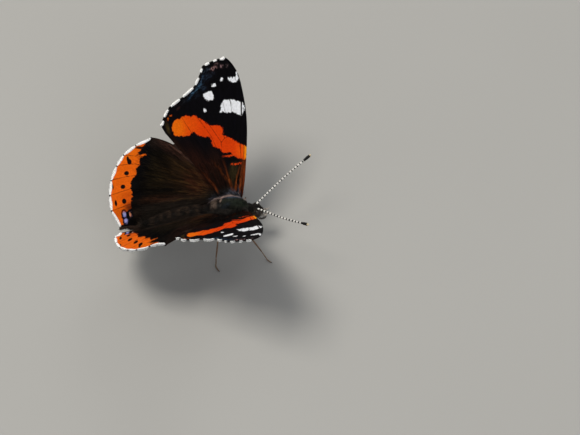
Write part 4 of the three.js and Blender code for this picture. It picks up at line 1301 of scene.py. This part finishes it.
# hip, knee, ankle, ball and toe of each walking leg; z is the height above the floor
walkingLegs = {
    "midleg_right": [(1.7, -1.3, 7.3), (3.1, -5, 7.1), (6.2, -7.8, 2.2), (7.2, -8.7, 0.2),
                     (7.9, -9.5, 0.13)],
    "hindleg_right": [(-0.9, -1.3, 7.3), (-3, -6.1, 7.2), (-4.1, -7.4, 2), (-4.4, -8.5, 0.2),
                      (-3.9, -9.8, 0.13)],
    "midleg_left": [(1.7, 1.3, 7.3), (2.1, 5.4, 6.9), (3.2, 8.3, 2.2), (3.7, 9.3, 0.2), (4.3, 10.2, 0.13)],
    "hindleg_left": [(-0.9, 1.3, 7.3), (-3.9, 5.8, 7.1), (-6.4, 7.4, 2.1), (-7.6, 8.2, 0.2),
                     (-8.9, 8.9, 0.13)],
}
# radii are followed by how each stretch swells from end to end
legFinish = {
    "hipRadii": (0.3, 0.42, 0.3), "thighRadius": 0.33, "thighSwell": (0.5, 0.8, 1, 1, 0.85, 0.65, 0.55),
    "shinRadius": 0.19, "shinSwell": (0.8, 1, 0.85, 1, 1, 0.9, 0.7),
    "footRadius": 0.115, "footSwell": (0.6, 0.85, 0.85, 1.1, 0.7),
    "footJoints": [(0, 47), (46, 63), (62, 75), (74, 87), (86, 100)],  # a long one and four short, in percent
    "thigh": "#4a3a2e", "shin": "#7a6049", "foot": "#94785c",
    "spine": "#2a1c14", "spineLength": 0.3, "spineWide": 0.05, "spineApart": 0.08,
    "claw": "#140d0a", "clawLength": 0.34, "clawWide": 0.1, "clawSpread": 0.35,
    "hair": "#8b7765", "hairs": 420, "hairLength": (0.2, 0.45), "hairWide": 0.045, "hairLift": (0.2, 0.6),
}


def legTube(points, radii, steps, tint):
    path = curveThrough(points, steps)
    radius = np.interp(np.linspace(0, 1, steps + 1), np.linspace(0, 1, len(radii)), radii)
    tube = layGrid("tube", tubePoints(path, radius, up=(1, 0, 0)), rolled=True)
    bpy.ops.object.shade_smooth()
    paint(tube, toLinear(tint))
    return tube


def makeLimb(name, hip, knee, bentShin, foot):
    thighRadii = np.multiply(legFinish["thighRadius"], legFinish["thighSwell"])
    shinRadii = np.multiply(legFinish["shinRadius"], legFinish["shinSwell"])
    footRadii = np.multiply(legFinish["footRadius"], legFinish["footSwell"])
    bentThigh = [between(hip, knee, 0.14), between(hip, knee, 0.55) + (0, 0, 0.14), knee]
    hipJoint = [hip, between(hip, knee, 0.12), between(hip, knee, 0.2)]
    parts = [legTube(hipJoint, legFinish["hipRadii"], 10, legFinish["thigh"]),
             legTube(bentThigh, thighRadii, 24, legFinish["thigh"]),
             legTube(bentShin, shinRadii, 24, legFinish["shin"])]
    for a, b in legFinish["footJoints"]:
        parts.append(legTube(foot[[a, (a + b) // 2, b]], footRadii, 10, legFinish["foot"]))
    return joined(f"{name}_limb", parts)


def legSpines(bentShin, foot, toes):
    # paired spines down the shin and the foot, and two hooked claws
    shin, every = curveThrough(bentShin, 40)[6::4], slice(4, 98, 5)
    spots = np.vstack([shin, foot[every]])
    down = np.tile(bentShin[2] - bentShin[0], (len(shin), 1))
    along = unit(np.vstack([down, np.gradient(foot, axis=0)[every]]))
    across = unit(np.cross(along, (0.35, 0.2, 1.0)))
    apart = across * legFinish["spineApart"]
    claws = np.tile(foot[-1] + toes * 0.02, (2, 1))
    clawLie = toes + np.array([[1], [-1]]) * legFinish["clawSpread"] * across[-1]
    roots = np.vstack([spots + apart, spots - apart, claws])
    lie = np.vstack([along, along, clawLie])
    out = np.vstack([across, -across, np.tile((0, 0, 1.0), (2, 1))])
    count = 2 * len(spots)
    length, wide, lift = [np.repeat(pair, (count, 2)) for pair in (
        (legFinish["spineLength"], legFinish["clawLength"]), (legFinish["spineWide"], legFinish["clawWide"]),
        (0.7, 0.25))]
    tone = np.repeat([toLinear(legFinish["spine"]), toLinear(legFinish["claw"])], (count, 2), 0)
    # a strip of the map below the hair's part
    patch = np.stack([np.linspace(0.02, 0.5, count + 2), np.full(count + 2, 0.05)], 1)
    return growTufts("spines", roots, lie, out, length, wide, tone, patch, lift, 0.8)


def thighHair(limb, hip, knee):
    # short hair lying down the hip and thigh
    hip, knee = hip - toModel((0, 0, 0)), knee - toModel((0, 0, 0))
    axis, long = unit(knee - hip), np.linalg.norm(knee - hip)
    root, out = scatterOn(limb, legFinish["hairs"], lambda c: (c - hip) @ axis < long)
    tone = np.array(toLinear(legFinish["hair"])) * dice.uniform(0.35, 1.3, (len(root), 1))
    down = np.clip((root - hip) @ axis / 6, 0, 1)
    patch = np.stack([0.02 + turnShare(out[:, 0], out[:, 2]) * 0.9, 0.1 + down * 0.88], 1)
    length, lift = [dice.uniform(*legFinish[k], len(root)) for k in ("hairLength", "hairLift")]
    lie = np.tile(axis, (len(root), 1))
    return growTufts("hairs", toModel(root), lie, out, length, legFinish["hairWide"], tone, patch, lift, 0.7)


def makeLeg(name, joints, material, hairMaterial):
    hip, knee, ankle, ball, toe = [np.array(j) + (stance["shift"], 0, 0) for j in joints]
    bentShin = [knee, between(knee, ankle, 0.5) + (0.06, 0, 0.05), ankle]
    foot = curveThrough([ankle, between(ankle, ball, 0.55), ball, toe], 100)
    limb = makeLimb(name, hip, knee, bentShin, foot)
    spines = legSpines(bentShin, foot, unit(toe - ball))
    settle(limb, [material], "leg", name)
    settle(joined(f"{name}_hair", [thighHair(limb, hip, knee), spines]), [hairMaterial], "leg")


# the front legs are short and folded against the chest, with a brush of long hair
brushFoot = {"path": [(2.9, 0.85, -2.0), (4.0, 1.05, -3.4), (5.1, 1.0, -4.1), (6.0, 0.85, -3.75)],
             "radiusAt": (0, 0.05, 0.3, 0.9, 1), "radii": (0.02, 0.28, 0.24, 0.13, 0.01), "reach": (2.6, 6.4),
             "hair": "#7d6a58", "hairs": 1500, "length": (0.35, 0.8), "wide": 0.05, "lift": (0.3, 0.8)}


def makeForeleg(label, side, material, hairMaterial):
    path = curveThrough([(x, side * y, z) for x, y, z in brushFoot["path"]], 30)
    radius = np.interp(np.linspace(0, 1, len(path)), brushFoot["radiusAt"], brushFoot["radii"])
    leg = layGrid(f"brush_foot_{label}", tubePoints(toModel(path), radius, up=(0, 1, 0)), rolled=True)
    bpy.ops.object.shade_smooth()
    paint(leg, toLinear(legFinish["thigh"]))
    settle(leg, [material], "leg", f"foreleg_{label}")
    root, out = scatterOn(leg, brushFoot["hairs"])
    along = unit(np.gradient(path, axis=0))[((root[:, None] - path[None]) ** 2).sum(2).argmin(1)]
    tone = np.array(toLinear(brushFoot["hair"])) * dice.uniform(0.4, 1.5, (len(root), 1))
    patch = onMap(turnShare(out[:, 1], out[:, 2]), shareAlong(root[:, 0], brushFoot["reach"]))
    lie = along + dice.normal(0, 0.15, along.shape)
    length, lift = [dice.uniform(*brushFoot[k], len(root)) for k in ("length", "lift")]
    coat = growTufts(f"brush_foot_hair_{label}", toModel(root), lie, out, length, brushFoot["wide"], tone,
                     patch, lift, 0.6)
    settle(coat, [hairMaterial], "leg")


print("stage: head parts")
eyeHorn = eyeMaterial()
feelerHorn = hornMaterial("ringed feeler scales", 0.55, 0.25, 0.3333)
palpHorn = hornMaterial("palp scales", 0.7, 0.2, 0.4)
for label, side in bothSides:
    makeEye(label, side, eyeHorn)
for label, side in bothSides:
    makeFeeler(label, side, feelerHorn)
    makePalp(label, side, palpHorn, bodyCoat)
makeTongue(hornMaterial("tongue horn", 0.35, 0.4, 0.4))

print("stage: legs")
legHorn = hornMaterial("leg horn", 0.45, 0.35, 0.5)
for name, joints in walkingLegs.items():
    makeLeg(name, joints, legHorn, bodyCoat)
for label, side in bothSides:
    makeForeleg(label, side, legHorn, bodyCoat)
